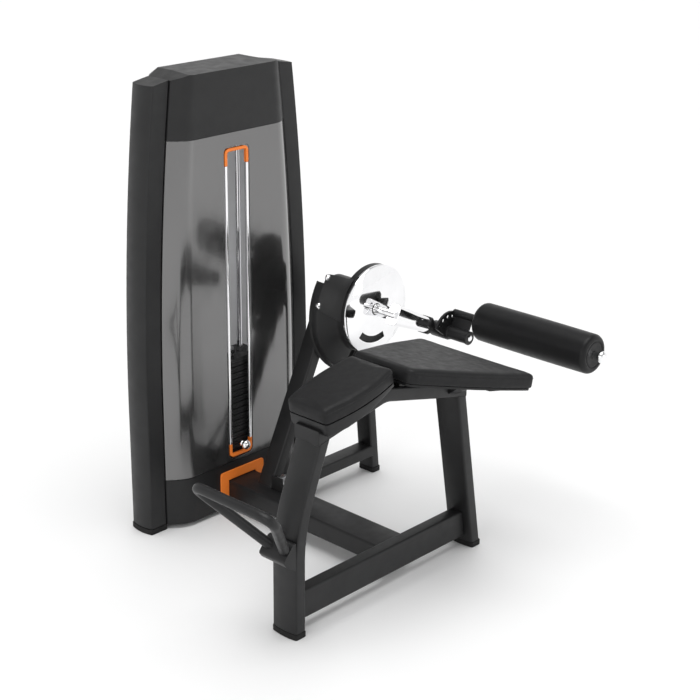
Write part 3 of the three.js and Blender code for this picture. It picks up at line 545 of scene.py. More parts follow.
def merge(*shapes):
    points = []
    faces = []
    for more_points, more_faces in shapes:
        offset = len(points)
        points.extend(more_points)
        faces.extend(tuple(i + offset for i in face) for face in more_faces)
    return points, faces


def sweep(path, radius, sides):
    """Round tube along a path of vectors."""
    rings = []
    side = Vector((1, 0, 0))
    up = Vector((0, 0, 1))
    for i, spot in enumerate(path):
        way = (path[min(i + 1, len(path) - 1)] - path[max(i - 1, 0)]).normalized()
        if abs(way.dot(side)) < 0.95:
            up = way.cross(side).normalized()
        side = up.cross(way).normalized()
        ring = []
        for k in range(sides):
            angle = 2 * pi * k / sides
            ring.append(tuple(spot + side * radius * cos(angle) + up * radius * sin(angle)))
        rings.append(ring)
    return loft(rings)


def levels(start, end, count):
    return [start + (end - start) * i / (count - 1) for i in range(count)]


# ---------- tower ----------
def bow(z):
    """How far the columns lean in at a height."""
    return BOW_TOP * (max(z - BOW_START, 0) / (COLUMN_TOP - BOW_START)) ** 2


def column_outline(grow=0):
    """Section of a column: flat sides and a convex outer face."""
    middle = (COLUMN_OUT + COLUMN_IN) / 2
    half = (COLUMN_OUT - COLUMN_IN) / 2 + grow
    wide = COLUMN_DEPTH / 2 + grow
    corners = [(-wide, middle - half, 5), (wide, middle - half, 5)]
    for t in levels(1, -1, 11):
        radius = 9 if abs(t) == 1 else 0
        corners.append((wide * t, middle + half - COLUMN_BULGE * t * t, radius))
    return fillet(corners)


def column(side):
    outline = column_outline()
    heights = levels(FOOT_HEIGHT + 0.5, COLUMN_TOP - 1, 40)
    rings = [[(x, TOWER_Y + side * (y - bow(z)), z) for x, y in outline] for z in heights]
    slope = 12 / (COLUMN_OUT - COLUMN_IN)
    shift = bow(COLUMN_TOP)
    rings.append([(x, TOWER_Y + side * (y - shift), COLUMN_TOP + (COLUMN_OUT - y) * slope)
                  for x, y in outline])
    return loft(rings)


def column_foot(side):
    return along_z([(x, TOWER_Y + side * y) for x, y in column_outline(2)], 0, FOOT_HEIGHT - 1)


def face_path():
    """Half of the tower's plan, from one column round the front to the other."""
    side = SHROUD_SIDE_X
    front = SHROUD_FRONT_X
    return fillet([
        (side - 26, -SHROUD_HALF, 0), (side, -SHROUD_HALF, 6), (front, -FACET_HALF, FOLD_RADIUS),
        (front, FACET_HALF, FOLD_RADIUS), (side, SHROUD_HALF, 6), (side - 26, SHROUD_HALF, 0),
    ], 8, closed=False)


def squeeze(y, z):
    """Where a point of the tower's plan lies along Y once the columns lean in."""
    return TOWER_Y + y * (SHROUD_HALF - bow(z)) / SHROUD_HALF


def face_sheet(low, high, turn=1):
    path = face_path()
    rows = [[(turn * x, squeeze(turn * y, z), z) for x, y in path] for z in levels(low, high, 30)]
    return sheet(rows)


def cut_sheet(obj, opening):
    """Cuts an opening through the tower's front sheet and eases the edges left by it."""
    carve(obj, new_object("opening_tool", *along_x(opening, 60, 130)))
    smooth(obj, 25)
    soften(obj, 1.2, 3, 50)


def front_shroud():
    obj = stand_for("front_shroud", face_sheet(SHROUD_BOTTOM + 1, HEADER_BOTTOM - 1), SHROUD)
    # Its inner face gets the grey panel finish, lightened as painted light for the inside of the tower.
    thicken(obj, SHEET, PANEL_WITH_PAINTED_LIGHT)
    apply_modifiers(obj)
    middle = (WINDOW_BOTTOM + WINDOW_TOP) / 2
    gap = 2 * WINDOW_GAP
    height = WINDOW_TOP - WINDOW_BOTTOM + gap
    cut_sheet(obj, rounded(2 * WINDOW_HALF + gap, height, 18, TOWER_Y, middle, 10))


def front_skirt():
    """Lower panel with a gate in it that the main beam passes through."""
    obj = stand_for("front_skirt", face_sheet(SKIRT_BOTTOM, SHROUD_BOTTOM - 1), BLACK)
    thicken(obj, SHEET)
    apply_modifiers(obj)
    height = MAIN_TOP + 100
    cut_sheet(obj, rounded(MAIN_WIDTH + 4, height, 6, TOWER_Y, MAIN_TOP + 2 - height / 2))


def rear_shroud():
    obj = stand_for("rear_shroud", face_sheet(SKIRT_BOTTOM, HEADER_BOTTOM - 1, -1), SHROUD, angle=25)
    # Its inner face gets the grey panel finish, lightened as painted light for the inside of the tower.
    thicken(obj, SHEET, PANEL_WITH_PAINTED_LIGHT)
    soften(obj, 1.2, 3, 50)


def header_plan():
    side = SHROUD_SIDE_X + 1
    front = SHROUD_FRONT_X + 1
    corners = []
    for sx, sy in ((1, -1), (1, 1), (-1, 1), (-1, -1)):
        pair = [(sx * side, sy * SHROUD_HALF, 5), (sx * front, sy * FACET_HALF, FOLD_RADIUS)]
        corners.extend(pair if sx * sy < 0 else reversed(pair))
    return fillet(corners, 8)


def roof_rings(plan):
    """The roof's edge, which is higher at the front, and the outline of its flat top."""
    edge = []
    flat = []
    back, front = PLATEAU_X
    for x, y in plan:
        share = min(max((SHROUD_HALF - abs(y)) / (SHROUD_HALF - FACET_HALF), 0), 1)
        rise = ROOF_RISE * share if x > 0 else 0
        edge.append((x, squeeze(y, ROOF_EDGE), ROOF_EDGE + rise))
        across = (min(max(x / SHROUD_SIDE_X, -1), 1) + 1) / 2
        along = min(max(y / (FACET_HALF - 16), -1), 1)
        flat.append((back + (front - back) * across, TOWER_Y + PLATEAU_HALF * along, ROOF_TOP))
    return [edge, flat]


def header():
    """Hood with slanted sides and a low hipped roof whose flat top lies toward the back."""
    plan = header_plan()
    heights = levels(HEADER_BOTTOM, ROOF_EDGE - 12, 9)
    rings = [[(x, squeeze(y, z), z) for x, y in plan] for z in heights] + roof_rings(plan)
    points, faces = loft(rings)
    faces.pop(-2)
    obj = stand_for("header", (points, faces), BLACK, angle=9)
    thicken(obj, SHEET)
    soften(obj, 1.2, 2, 9)


def trim(node, end, leg, turn):
    """Orange U that closes one end of the window: turn is 1 at the top and -1 at the bottom."""
    half = WINDOW_HALF - TRIM_WIDTH / 2
    far = end - turn * TRIM_WIDTH / 2
    path = fillet([(-half, end - turn * leg, 0), (-half, far, 14), (half, far, 14),
                   (half, end - turn * leg, 0)], 10, closed=False)
    rings = []
    for i, (y, z) in enumerate(path):
        way = Vector(path[min(i + 1, len(path) - 1)]) - Vector(path[max(i - 1, 0)])
        way = way.normalized() * TRIM_WIDTH / 2
        rings.append([(x, TOWER_Y + y + s * way.y, z - s * way.x) for x, s in
                      ((SHROUD_FRONT_X - 10, -1), (SHROUD_FRONT_X - 10, 1),
                       (SHROUD_FRONT_X + 1.5, 1), (SHROUD_FRONT_X + 1.5, -1))])
    stand_for(node, loft(rings), ORANGE, edge=1.5, angle=40)


def window_strip(word, side):
    """Chrome strip along one side of the window, between the two trims."""
    y = TOWER_Y + side * (WINDOW_HALF - TRIM_WIDTH / 2)
    outline = rounded(11, TRIM_WIDTH - 1, 2.5, SHROUD_FRONT_X - 4.5, y)
    bar = along_z(outline, WINDOW_BOTTOM + FOOT_TRIM_LEG + 0.5, WINDOW_TOP - TRIM_LEG - 0.5)
    stand_for(f"window_strip_{word}", bar, CHROME)


def beam_collar():
    outer = MAIN_WIDTH / 2 + 36
    inner = MAIN_WIDTH / 2 + 1
    outline = fillet([
        (-outer, 27, 2), (-inner, 27, 2), (-inner, MAIN_TOP + 3, 3), (inner, MAIN_TOP + 3, 3),
        (inner, 27, 2), (outer, 27, 2), (outer, 146, 12), (-outer, 146, 12),
    ])
    shape = along_x([(TOWER_Y + y, z) for y, z in outline], SHROUD_FRONT_X + 0.5, SHROUD_FRONT_X + 6)
    stand_for("beam_collar", shape, ORANGE, edge=1.2, angle=40)


def build_tower():
    for word, side in (("left", -1), ("right", 1)):
        stand_for(f"{word}_column", column(side), BLACK, edge=2.5, angle=40)
        stand_for(f"{word}_column_foot", column_foot(side), RUBBER, edge=2, angle=40)
        window_strip(word, side)
        dress(f"guide_rod_{word}", CHROME)
    header()
    front_shroud()
    rear_shroud()
    front_skirt()
    trim("window_trim_top", WINDOW_TOP, TRIM_LEG, 1)
    trim("window_trim_bottom", WINDOW_BOTTOM, FOOT_TRIM_LEG, -1)
    beam_collar()
    dress("base_crossmember", BLACK)
    dress("top_crossmember", BLACK)
    dress("top_pulley", STEEL)


# ---------- weight stack ----------
def plate(z, thick):
    """One weight plate with eased edges and a shallow groove along its front and back."""
    depth, width = PLATE_SIZE
    ease = 1.6
    rings = []
    for height, inset in ((0, ease), (ease, 0), (0.38 * thick, 0), (0.44 * thick, 1.4),
                          (0.56 * thick, 1.4), (0.62 * thick, 0), (thick - ease, 0), (thick, ease)):
        outline = rounded(depth - 2 * inset, width - 2 * inset, 5, ROD_X, TOWER_Y, 4)
        rings.append([(x, y, z + height) for x, y in outline])
    return loft(rings)


def bore_plates(obj, low, high):
    """Drills the two holes that the guide rods pass through."""
    for side in (-1, 1):
        circle = arc((ROD_X, TOWER_Y + side * ROD_HALF), 11, 0, 348.75, 32)
        carve(obj, new_object("bore_tool", *along_z(circle, low - 5, high + 5)))
    smooth(obj, 35)


def plate_group(node, low, count=1, thick=PLATE_THICK):
    """A pile of separate plates on one body."""
    plates = [plate(low + i * PLATE_PITCH, thick) for i in range(count)]
    obj = stand_for(node, merge(*plates), IRON)
    bore_plates(obj, low, low + (count - 1) * PLATE_PITCH + thick)


def belt_clamp():
    """Block and bolts that hold the lift belt on the top plate."""
    top = UPPER_TOP + TOP_PLATE_THICK
    block = along_z(rounded(22, 40, 3, ROD_X + 13, TOWER_Y), top, top + 30)
    detail("belt_clamp", block, STEEL, "stack", "steel", edge=1.5)
    face = ROD_X + 24
    end = face + 5
    profile = [(face, 0), (face, 6), (end - 1, 6), (end, 5), (end, 3), (end - 2, 3), (end - 2, 0)]
    for i, y in enumerate((-11, 11)):
        head = lathe_x(profile, (TOWER_Y + y, top + 15), 24)
        detail(f"clamp_bolt_{i + 1}", head, BLACK, "stack", "frame_black")


def selector_pin():
    """Steel pin with a collar and a chrome ball knob."""
    z = UPPER_BOTTOM + PLATE_THICK / 2
    front = ROD_X + PLATE_SIZE[0] / 2
    ball = [(front + 31 + 13 * (1 - cos(t)), 0.6 + 15.4 * sin(t)) for t in levels(0.4, pi, 16)]
    profile = [(ROD_X - 14, 0), (ROD_X - 14, 3.5), (ROD_X - 12, 4.5), (front + 10, 4.5), (front + 10, 9),
               (front + 13, 10), (front + 28, 10), (front + 31, 8)] + ball
    stand_for("selector_pin", lathe_x(profile, (TOWER_Y, z), 48), CHROME)


def lift_belt():
    low = UPPER_TOP + TOP_PLATE_THICK + GAP
    outline = rounded(3, 22, 1.2, ROD_X, TOWER_Y)
    rings = [[(x, y, z) for x, y in outline] for z in levels(low, TOP_PULLEY_Z, 30)]
    obj = stand_for("lift_belt", loft(rings), BELT)
    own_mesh(obj)


def build_stack():
    plate_group("lower_plates", STACK_BOTTOM, LOWER_PLATES)
    plate_group("upper_plates", UPPER_BOTTOM, UPPER_PLATES)
    plate_group("top_plate", UPPER_TOP, thick=TOP_PLATE_THICK)
    belt_clamp()
    dress("selector_stem", STEEL)
    selector_pin()
    lift_belt()


# ---------- bench frame ----------
def main_beam():
    outline = rounded(MAIN_WIDTH, MAIN_HEIGHT, 8, TOWER_Y, MAIN_TOP - MAIN_HEIGHT / 2)
    end = BENCH_X - CROSS_SIZE[0] / 2 - GAP
    obj = stand_for("main_beam", along_x(outline, 30 + GAP, end), BLACK)
    slot = rounded(56, 38, 8, *FOOT_PULLEY[:2])
    carve(obj, new_object("slot_tool", *along_z(slot, MAIN_TOP - 15, MAIN_TOP + 9)))
    smooth(obj, 35)


def cross_beam():
    width, height = CROSS_SIZE
    outline = rounded(width, height, 8, BENCH_X, CROSS_LOW + height / 2)
    left = LEFT_LEG_Y + LEG_SIZE[1] / 2 - 6
    face = RIGHT_LEG_Y - LEG_SIZE[1] / 2 - GAP
    rings = [[(x, left, z) for x, z in outline], [(x, face + RIGHT_LEAN * z, z) for x, z in outline]]
    stand_for("cross_beam", loft(rings), BLACK)


def left_shift(z):
    """How far the left leg has moved along Y at a height: a bend, then a straight slant."""
    rise = max(z - LEFT_BEND, 0)
    if rise < LEFT_BEND_LENGTH:
        return LEFT_LEAN * rise * rise / (2 * LEFT_BEND_LENGTH)
    return LEFT_LEAN * (rise - LEFT_BEND_LENGTH / 2)


def right_shift(z):
    return RIGHT_LEAN * z


def rail_line(y):
    """Height of the top rail's centre line."""
    (y0, z0), (y1, z1), (y2, z2) = RAIL_PATH
    if y < y1:
        return z0 + (y - y0) * (z1 - z0) / (y1 - y0)
    return z1 + (y - y1) * (z2 - z1) / (y2 - y1)


def leg_outline(grow=0):
    """Section of a bench leg, with a convex face toward the head end."""
    width, depth = LEG_SIZE
    wide = width / 2 + grow
    half = depth / 2 + grow
    corners = []
    for t in levels(-1, 1, 9):
        corners.append((wide * t, -half + 6 * t * t, 8 if abs(t) == 1 else 0))
    corners += [(wide, half, 8), (-wide, half, 8)]
    return fillet(corners)


def front_leg(base, shift):
    """A bench leg whose top follows the slope of the rail that it meets."""
    outline = leg_outline()
    heights = levels(FOOT_HEIGHT + 0.5, 520, 26)
    rings = [[(BENCH_X + x, base + y + shift(z), z) for x, y in outline] for z in heights]
    top = []
    for x, y in outline:
        z = 560
        for _ in range(6):
            z = rail_line(base + y + shift(z)) - RAIL_HEIGHT / 2 + 4
        top.append((BENCH_X + x, base + y + shift(z), z))
    return loft(rings + [top])


def foot(outline, x, y):
    return along_z([(x + u, y + v) for u, v in outline], 0, FOOT_HEIGHT - 1)


def top_rail():
    """Bent rail under both pads, with a soft bend at its peak."""
    outline = rounded(LEG_SIZE[0], RAIL_HEIGHT, 8)
    first, peak, last = [y for y, _ in RAIL_PATH]
    reach = 14
    spots = levels(first + reach, peak - reach, 8) + levels(peak - 8, peak + 8, 5)
    spots += levels(peak + reach, last, 8)
    rings = []
    for y in spots:
        near = max(0, reach - abs(y - peak)) / reach
        rings.append([(BENCH_X + u, y, rail_line(y) + v - 2 * near) for u, v in outline])
    stand_for("top_rail", loft(rings), BLACK, edge=1.5, angle=40)


def handle_bar():
    """Round bar that leaves the bracket, runs out to a soft corner and comes back on the other side."""
    round_off = 62
    away = (GRIP_START - GRIP_CORNER).normalized()
    near = GRIP_CORNER + away * round_off
    along = GRIP_CORNER + Vector((round_off, 0, 0))
    half = [GRIP_START + (near - GRIP_START) * t for t in levels(0, 0.98, 6)]
    half += [near * (1 - t) ** 2 + GRIP_CORNER * 2 * t * (1 - t) + along * t ** 2 for t in levels(0, 1, 16)]
    far = [Vector((2 * BENCH_X - p.x, p.y, p.z)) for p in reversed(half)]
    stand_for("handle_bar", sweep(half + far, GRIP_RADIUS, 32), BLACK, edge=2, angle=50)


def handle_bracket():
    face = LEFT_LEG_Y - LEG_SIZE[1] / 2 + 3
    outline = fillet([(face, 226, 3), (face, 312, 3), (face - 11, 312, 5), (face - 49, 268, 8),
                      (face - 37, 250, 8)], 5)
    shape = along_x(outline, BENCH_X - 50, BENCH_X + 50)
    stand_for("handle_bracket", shape, BLACK, edge=2, angle=40)


def build_frame():
    main_beam()
    cross_beam()
    for word, base, shift in (("left", LEFT_LEG_Y, left_shift), ("right", RIGHT_LEG_Y, right_shift)):
        stand_for(f"front_{word}_leg", front_leg(base, shift), BLACK)
        shape = foot(leg_outline(1.5), BENCH_X, base)
        stand_for(f"front_{word}_foot", shape, RUBBER, edge=2, angle=40)
    top_rail()
    handle_bar()
    handle_bracket()


# ---------- rear frame ----------
def slanted_tube(size, base, lean, low, high):
    """Tube on the rear frame's plane whose centre moves along Y as it rises."""
    outline = rounded(*size, 7, REAR_X)
    return loft([[(x, base + lean * z + y, z) for x, y in outline] for z in (low, high)])


def pivot_head():
    """Round bearing housing with a stepped cap on the tower's side."""
    low = REAR_X - REAR_TUBE_X / 2
    high = REAR_X + REAR_TUBE_X / 2 + 4
    rim = HEAD_RADIUS
    cap = [(low + 2, BORE), (low + 2, 34), (low, 36), (low, 48), (low + 4, 50), (low + 4, rim - 9)]
    barrel = [(low, rim - 7), (low, rim - 3), (low + 3, rim)]
    end = [(high - 3, rim), (high, rim - 3), (high, BORE)]
    stand_for("pivot_head", lathe_x(cap + barrel + end, PIVOT, 96, bored=True), BLACK)


def cam_guard():
    """Sheet guard: a flanged rim, a drum, and a cone that narrows to the round disc."""
    flange = [(238, 230), (240.5, 230), (242, 228.5), (242.5, 226), (244.5, 223.5)]
    drum = [(250, 223), (262, 222.5), (266.5, 221.5), (271, 217.5)]
    neck = [(314, 154), (318, 150.5), (323, 149.5), (343, 149.3)]
    path = [(x, RIM, radius) for x, radius in flange + drum] + [(x, PIVOT, radius) for x, radius in neck]
    rows = [[(x, *on_circle(centre, radius, degrees)) for x, centre, radius in path]
            for degrees in levels(147, 242, 64)]
    obj = stand_for("cam_guard", sheet(rows), BLACK, angle=40)
    thicken(obj, 2)
    soften(obj, 0.8, 3, 50)


def guard_plate():
    """Bolted cover plate over the top of the guard; it widens toward the round disc."""
    between = tuple((28 * a + 22 * b) / 50 for a, b in zip(RIM, PIVOT))
    stations = [(268, RIM, 229, 139, 169), (290, between, 198.6, 135.5, 174), (316, PIVOT, 163, 131, 180),
                (322, PIVOT, 159.5, 130.4, 180.8), (343, PIVOT, 155, 128, 184)]
    rows = [[(x, *on_circle(centre, radius, start + (end - start) * t))
             for x, centre, radius, start, end in stations] for t in levels(0, 1, 40)]
    obj = stand_for("guard_plate", sheet(rows), BLACK, angle=40)
    thicken(obj, 5.5)
    soften(obj, 1.5, 3, 50)


def guard_bolts():
    """Chrome button heads along the cover plate's outer edge."""
    face = 270
    profile = [(face, 0), (face, 11), (face + 6, 11), (face + 8, 10), (face + 9.5, 7), (face + 9.5, 0)]
    for i, degrees in enumerate((142, 166)):
        head = lathe_x(profile, on_circle(RIM, 226, degrees), 24)
        detail(f"guard_bolt_{i + 1}", head, CHROME, "frame", "chrome")


def drive_belt():
    """Belt from the foot pulley to the cam, with a quarter turn on the way."""
    pulley_x, y0, z0 = FOOT_PULLEY
    x0 = pulley_x + 28.5
    dy = PIVOT[0] - y0
    dz = PIVOT[1] - z0
    radius = CAM_RADIUS + 2
    reach = sqrt(dy * dy + dz * dz - radius * radius)
    angle = atan2(dz, dy) - atan2(radius, reach)
    rings = []
    for t in levels(0, 1, 40):
        turn = (1 - t) * pi / 2
        along = t * (reach - 2)
        ring = []
        for u, v in rounded(24, 3, 1.2):
            x = x0 + (CAM_X - x0) * t + u * cos(turn) - v * sin(turn)
            through = u * sin(turn) + v * cos(turn)
            y = y0 + along * cos(angle) + through * sin(angle)
            z = z0 + along * sin(angle) - through * cos(angle)
            ring.append((x, y, z))
        rings.append(ring)
    stand_for("drive_belt", loft(rings), BELT)


def build_rear():
    width = REAR_TUBE_X - 1
    base = POST_FOOT_Y - POST_LEAN * MAIN_TOP
    post = slanted_tube((width, 44), base, POST_LEAN, MAIN_TOP - 2, PIVOT[1])
    stand_for("pivot_post", post, BLACK)
    leg = slanted_tube((width, 37), REAR_LEG_Y, REAR_LEAN, FOOT_HEIGHT + 0.5, PIVOT[1] + 6)
    stand_for("rear_leg", leg, BLACK)
    shape = foot(rounded(REAR_TUBE_X + 4, 40, 8), REAR_X, REAR_LEG_Y)
    stand_for("rear_foot", shape, RUBBER, edge=2, angle=40)
    outline = rounded(62, 41, 7, REAR_X + 3, 83.5)
    rail = loft([[(x, y, z) for x, z in outline] for y in (TOWER_Y + 60, 552)])
    stand_for("rear_rail", rail, BLACK)
    pivot_head()
    cam_guard()
    guard_plate()
    guard_bolts()
    drive_belt()
    dress("foot_pulley_block", BLACK, edge=1.5)
    dress("foot_pulley", STEEL)


# ---------- pads ----------
def on_pad(pad, x, y, z):
    """A place in a pad's own frame, in the machine's millimetres."""
    tilt = atan(pad["slope"])
    return (BENCH_X + x, pad["y"] + y * cos(tilt) - z * sin(tilt),
            pad["z"] + y * sin(tilt) + z * cos(tilt))


def pad_outline(pad, inset):
    """Outline of a pad, with long sides that bulge."""
    start, end = pad["half"]
    length = pad["length"]
    corners = dict(zip((0, 1), pad["corners"]))
    right = []
    for t in levels(0, 1, 13):
        half = start + (end - start) * t + pad["bulge"] * sin(pi * t) - inset
        right.append((half, inset + (length - 2 * inset) * t, corners.get(t, 0)))
    left = [(-x, y, r) for x, y, r in reversed(right)]
    return fillet(right + left)


def pad_ring(pad, inset, z):
    return [on_pad(pad, x, y, z) for x, y in pad_outline(pad, inset)]


def pad_block(pad):
    """Closed pad with rounded top edges, before it is filled."""
    thick = pad["thick"]
    edge = 10
    rings = [pad_ring(pad, inset, z) for inset, z in ((3, -thick), (1.5, -thick + 2), (1.5, -edge))]
    for degrees in levels(15, 90, 6):
        turn = radians(degrees)
        rings.append(pad_ring(pad, 1.5 + edge * (1 - cos(turn)), -edge + (edge - 1) * sin(turn)))
    return loft(rings)


def fill_pad(obj, pad):
    """Swells a pad like foam under its cover. Its underside stays on the plate."""
    tilt = Matrix.Rotation(atan(pad["slope"]), 4, "X")
    obj.data.transform(tilt.inverted())
    remesh = obj.modifiers.new("voxels", "REMESH")
    remesh.mode = "VOXEL"
    remesh.voxel_size = 4 * MM
    apply_modifiers(obj)
    obj.data.transform(tilt)
    swell(obj, pad)
    relax = obj.modifiers.new("relax", "SMOOTH")
    relax.factor = 0.5
    relax.iterations = 6
    apply_modifiers(obj)
    obj.data.shade_smooth()
    subdivide = obj.modifiers.new("fine", "SUBSURF")
    subdivide.levels = 1
    subdivide.render_levels = 1


def swell(obj, pad):
    """Blows the cover up as cloth, by no more than PAD_PUFF anywhere."""
    up = Vector((0, -pad["slope"], 1)).normalized()
    base = at(*on_pad(pad, 0, 0, -pad["thick"]))
    held = [v.index for v in obj.data.vertices if (v.co - base).dot(up) < 3 * MM]
    rest = [v.co.copy() for v in obj.data.vertices]
    obj.vertex_groups.new(name="held").add(held, 1.0, "REPLACE")
    cloth = obj.modifiers.new("cover", "CLOTH")
    cloth.settings.vertex_group_mass = "held"
    cloth.settings.use_pressure = True
    cloth.settings.uniform_pressure_force = 2
    cloth.settings.effector_weights.gravity = 0
    scene = bpy.context.scene
    for step in range(1, 21):
        scene.frame_set(step)
    graph = bpy.context.evaluated_depsgraph_get()
    shape = obj.evaluated_get(graph).to_mesh()
    moved = [v.co.copy() for v in shape.vertices]
    obj.evaluated_get(graph).to_mesh_clear()
    obj.modifiers.clear()
    scene.frame_set(1)
    for vertex, start, end in zip(obj.data.vertices, rest, moved):
        step = end - start
        if step.length > PAD_PUFF * MM:
            step = step.normalized() * PAD_PUFF * MM
        vertex.co = start + step
    obj.vertex_groups.clear()


def seam(name, pad, obj):
    """Stitched welt round a pad, laid on the side of its cover."""
    height = -14
    centre = Vector(on_pad(pad, 0, pad["length"] / 2, height))
    bpy.context.view_layer.update()
    spots = []
    for point in pad_ring(pad, -12, height):
        way = (at(*centre) - at(*point)).normalized()
        hit, spot, _, _ = obj.ray_cast(at(*point), way)
        if hit:
            spots.append((spot - ORIGIN) / MM)
    size = 1.3
    rings = []
    for i, spot in enumerate(spots):
        way = (spots[(i + 1) % len(spots)] - spots[i - 1]).normalized()
        side = (spot - centre).cross(way).normalized()
        out = way.cross(side)
        turns = levels(0, 2 * pi * 7 / 8, 8)
        rings.append([tuple(spot + side * size * cos(a) + out * size * sin(a)) for a in turns])
    detail(name, loft(rings, closed=True), VINYL, "frame", "vinyl")


def chest_tray():
    """Shell under the chest pad; its lower edge rises toward the hips."""
    top = -CHEST["thick"] - 0.8
    rings = []
    for inset, share in ((2.5, 0), (2.5, 0.7), (4.5, 0.92), (10, 1)):
        ring = []
        for x, y in pad_outline(CHEST, inset):
            depth = 40 - 28 * min(max((y / CHEST["length"] - 0.25) / 0.75, 0), 1)
            ring.append(on_pad(CHEST, x, y, top - depth * share))
        rings.append(ring)
    stand_for("chest_pad_tray", loft(rings), PLASTIC, edge=1, angle=40)


def pad_wing(side, top):
    """Arm that reaches out from the rail under one half of the thigh pad."""
    outline = fillet([(48.5, top, 0), (195, top, 0), (195, top - 3, 0), (98, top - 10, 50),
                      (48.5, top - 52, 0)], 8)
    return loft([[on_pad(THIGH, side * x, y, z) for x, z in outline] for y in (278, 338)])


def thigh_bracket():
    """Base plate under the thigh pad, the curved gusset that carries it and its two side arms."""
    thick = THIGH["thick"]
    plate_rings = [pad_ring(THIGH, 7, z) for z in (-thick - 8, -thick - 0.6)]
    top = -thick - 7
    outline = fillet([(50, top, 0), (50, top - 55, 6), (290, top - 55, 60), (335, top - 14, 60),
                      (400, top - 3, 0), (400, top, 0)], 8)
    gusset = loft([[on_pad(THIGH, x, y, z) for y, z in outline] for x in (-40, 40)])
    wings = [pad_wing(side, top) for side in (-1, 1)]
    shape = merge(loft(plate_rings), gusset, *wings)
    stand_for("thigh_pad_bracket", shape, PLASTIC, edge=1.5, angle=40)


def build_pads():
    for name, pad in (("chest_pad", CHEST), ("thigh_pad", THIGH)):
        obj = stand_for(name, pad_block(pad), VINYL)
        fill_pad(obj, pad)
        seam(f"{name}_seam", pad, obj)
    chest_tray()
    thigh_bracket()


# ---------- swinging arm ----------
ARM_ANGLE = atan2(SLEEVE[1] - PIVOT[1], SLEEVE[0] - PIVOT[0])
ARM_LENGTH = hypot(SLEEVE[0] - PIVOT[0], SLEEVE[1] - PIVOT[1])
LEVER_REACH = ARM_LENGTH - 84


def on_arm(x, along, across):
    """A place on the arm: along it from the pivot, and across it upward."""
    return (x, PIVOT[0] + along * cos(ARM_ANGLE) - across * sin(ARM_ANGLE),
            PIVOT[1] + along * sin(ARM_ANGLE) + across * cos(ARM_ANGLE))


def arm_bar(x_size, depth, radius, start, end):
    outline = rounded(x_size, depth, radius, sum(ARM_X) / 2)
    return loft([[on_arm(x, along, v) for x, v in outline] for along in (start, end)])


def chrome_disc():
    """Polished plate, faintly domed, with a bent slot below the arm's axis."""
    back, front = CHROME_DISC_X
    rim = DISC_RADIUS
    dome = 0.4
    profile = [(back, SHAFT_RADIUS), (back, rim - 2), (back + 1, rim - 0.5), (front - 2.1, rim),
               (front - 0.6, rim - 1), (front, rim - 4)]
    for radius in (130, 110, 90, 60, 30, SHAFT_RADIUS):
        profile.append((front + dome * (1 - (radius / (rim - 4)) ** 2), radius))
    obj = stand_for("chrome_disc", lathe_x(profile, PIVOT, 160, bored=True), DISC_CHROME)
    slot = arc(PIVOT, 113, 225, 292, 24) + arc(PIVOT, 90, 292, 225, 24)
    carve(obj, new_object("slot_tool", *along_x(slot, back - 14, front + 15)))
    smooth(obj, 30)


def inner_disc():
    back, front = INNER_DISC_X
    rim = DISC_RADIUS - 1
    left = [(back, 0), (back, rim - 2), (back + 1.5, rim)]
    profile = left + [(front - 1.5, rim), (front, rim - 2), (front, 0)]
    stand_for("inner_disc", lathe_x(profile, PIVOT, 128), BLACK)


def drive_cam():
    """Round cam with a flange at each side of the belt."""
    back = CAM_X - 14
    front = CAM_X + 14
    edge = CAM_RADIUS
    profile = [(back, BORE), (back, edge), (back + 3, edge), (back + 5, edge - 3), (front - 5, edge - 3),
               (front - 3, edge), (front, edge), (front, BORE)]
    stand_for("drive_cam", lathe_x(profile, PIVOT, 96, bored=True), IRON)


def arm_hub():
    """Chrome boss with a low collar against the round disc."""
    start, end = CHROME_DISC_X[1] + 0.8, 443
    profile = [(start, 0), (start, 16), (start + 1.6, 17), (start + 3.6, 16), (start + 5.6, HUB_RADIUS),
               (end - 3, HUB_RADIUS), (end, HUB_RADIUS - 2), (end, 0)]
    stand_for("arm_hub", lathe_x(profile, PIVOT, 72), CHROME)


def index_hole(i):
    """Centre of one of the index plate's holes, as (y, z)."""
    return on_circle(SLEEVE, HOLE_CIRCLE, HOLE_FIRST + HOLE_STEP * i)


def lever_arm():
    """Chrome box bar that tapers from the pivot toward the socket."""
    width = ARM_X[1] - ARM_X[0]
    rings = []
    for along, depth in zip((3, LEVER_REACH), ARM_DEPTH):
        outline = rounded(width, depth, 15, sum(ARM_X) / 2, 0, 8)
        rings.append([on_arm(x, along, v) for x, v in outline])
    stand_for("lever_arm", loft(rings), CHROME, edge=2, angle=40)


def arm_socket():
    """Black clevis past the chrome lever, with an eye for the sleeve and an ear for the pop pin."""
    bar = arm_bar(44, 46, 9, LEVER_REACH + 0.5, ARM_LENGTH - 6)
    collar = arm_bar(50, 58, 11, LEVER_REACH - 2, LEVER_REACH + 12)
    end = INDEX_X[0] - 1.4
    eye = tube_x(26, ARM_X[0] + 2, end, SLEEVE, 2.5)
    ear = tube_x(13, ARM_X[0] + 20, end, index_hole(PINNED_HOLE), 2)
    stand_for("arm_socket", merge(bar, collar, eye, ear), BLACK, edge=2, angle=40)


def pop_pin():
    """Pull knob on a pin whose tip stops at the index plate."""
    knob, tip = 378, INDEX_X[0] - GAP
    profile = [(knob, 0), (knob, 8), (knob + 2, 11), (knob + 6, 12), (knob + 18, 12), (knob + 21, 10),
               (knob + 21, 7), (tip - 0.6, 7), (tip, 6), (tip, 0)]
    stand_for("pop_pin", lathe_x(profile, index_hole(PINNED_HOLE), 40), CHROME)


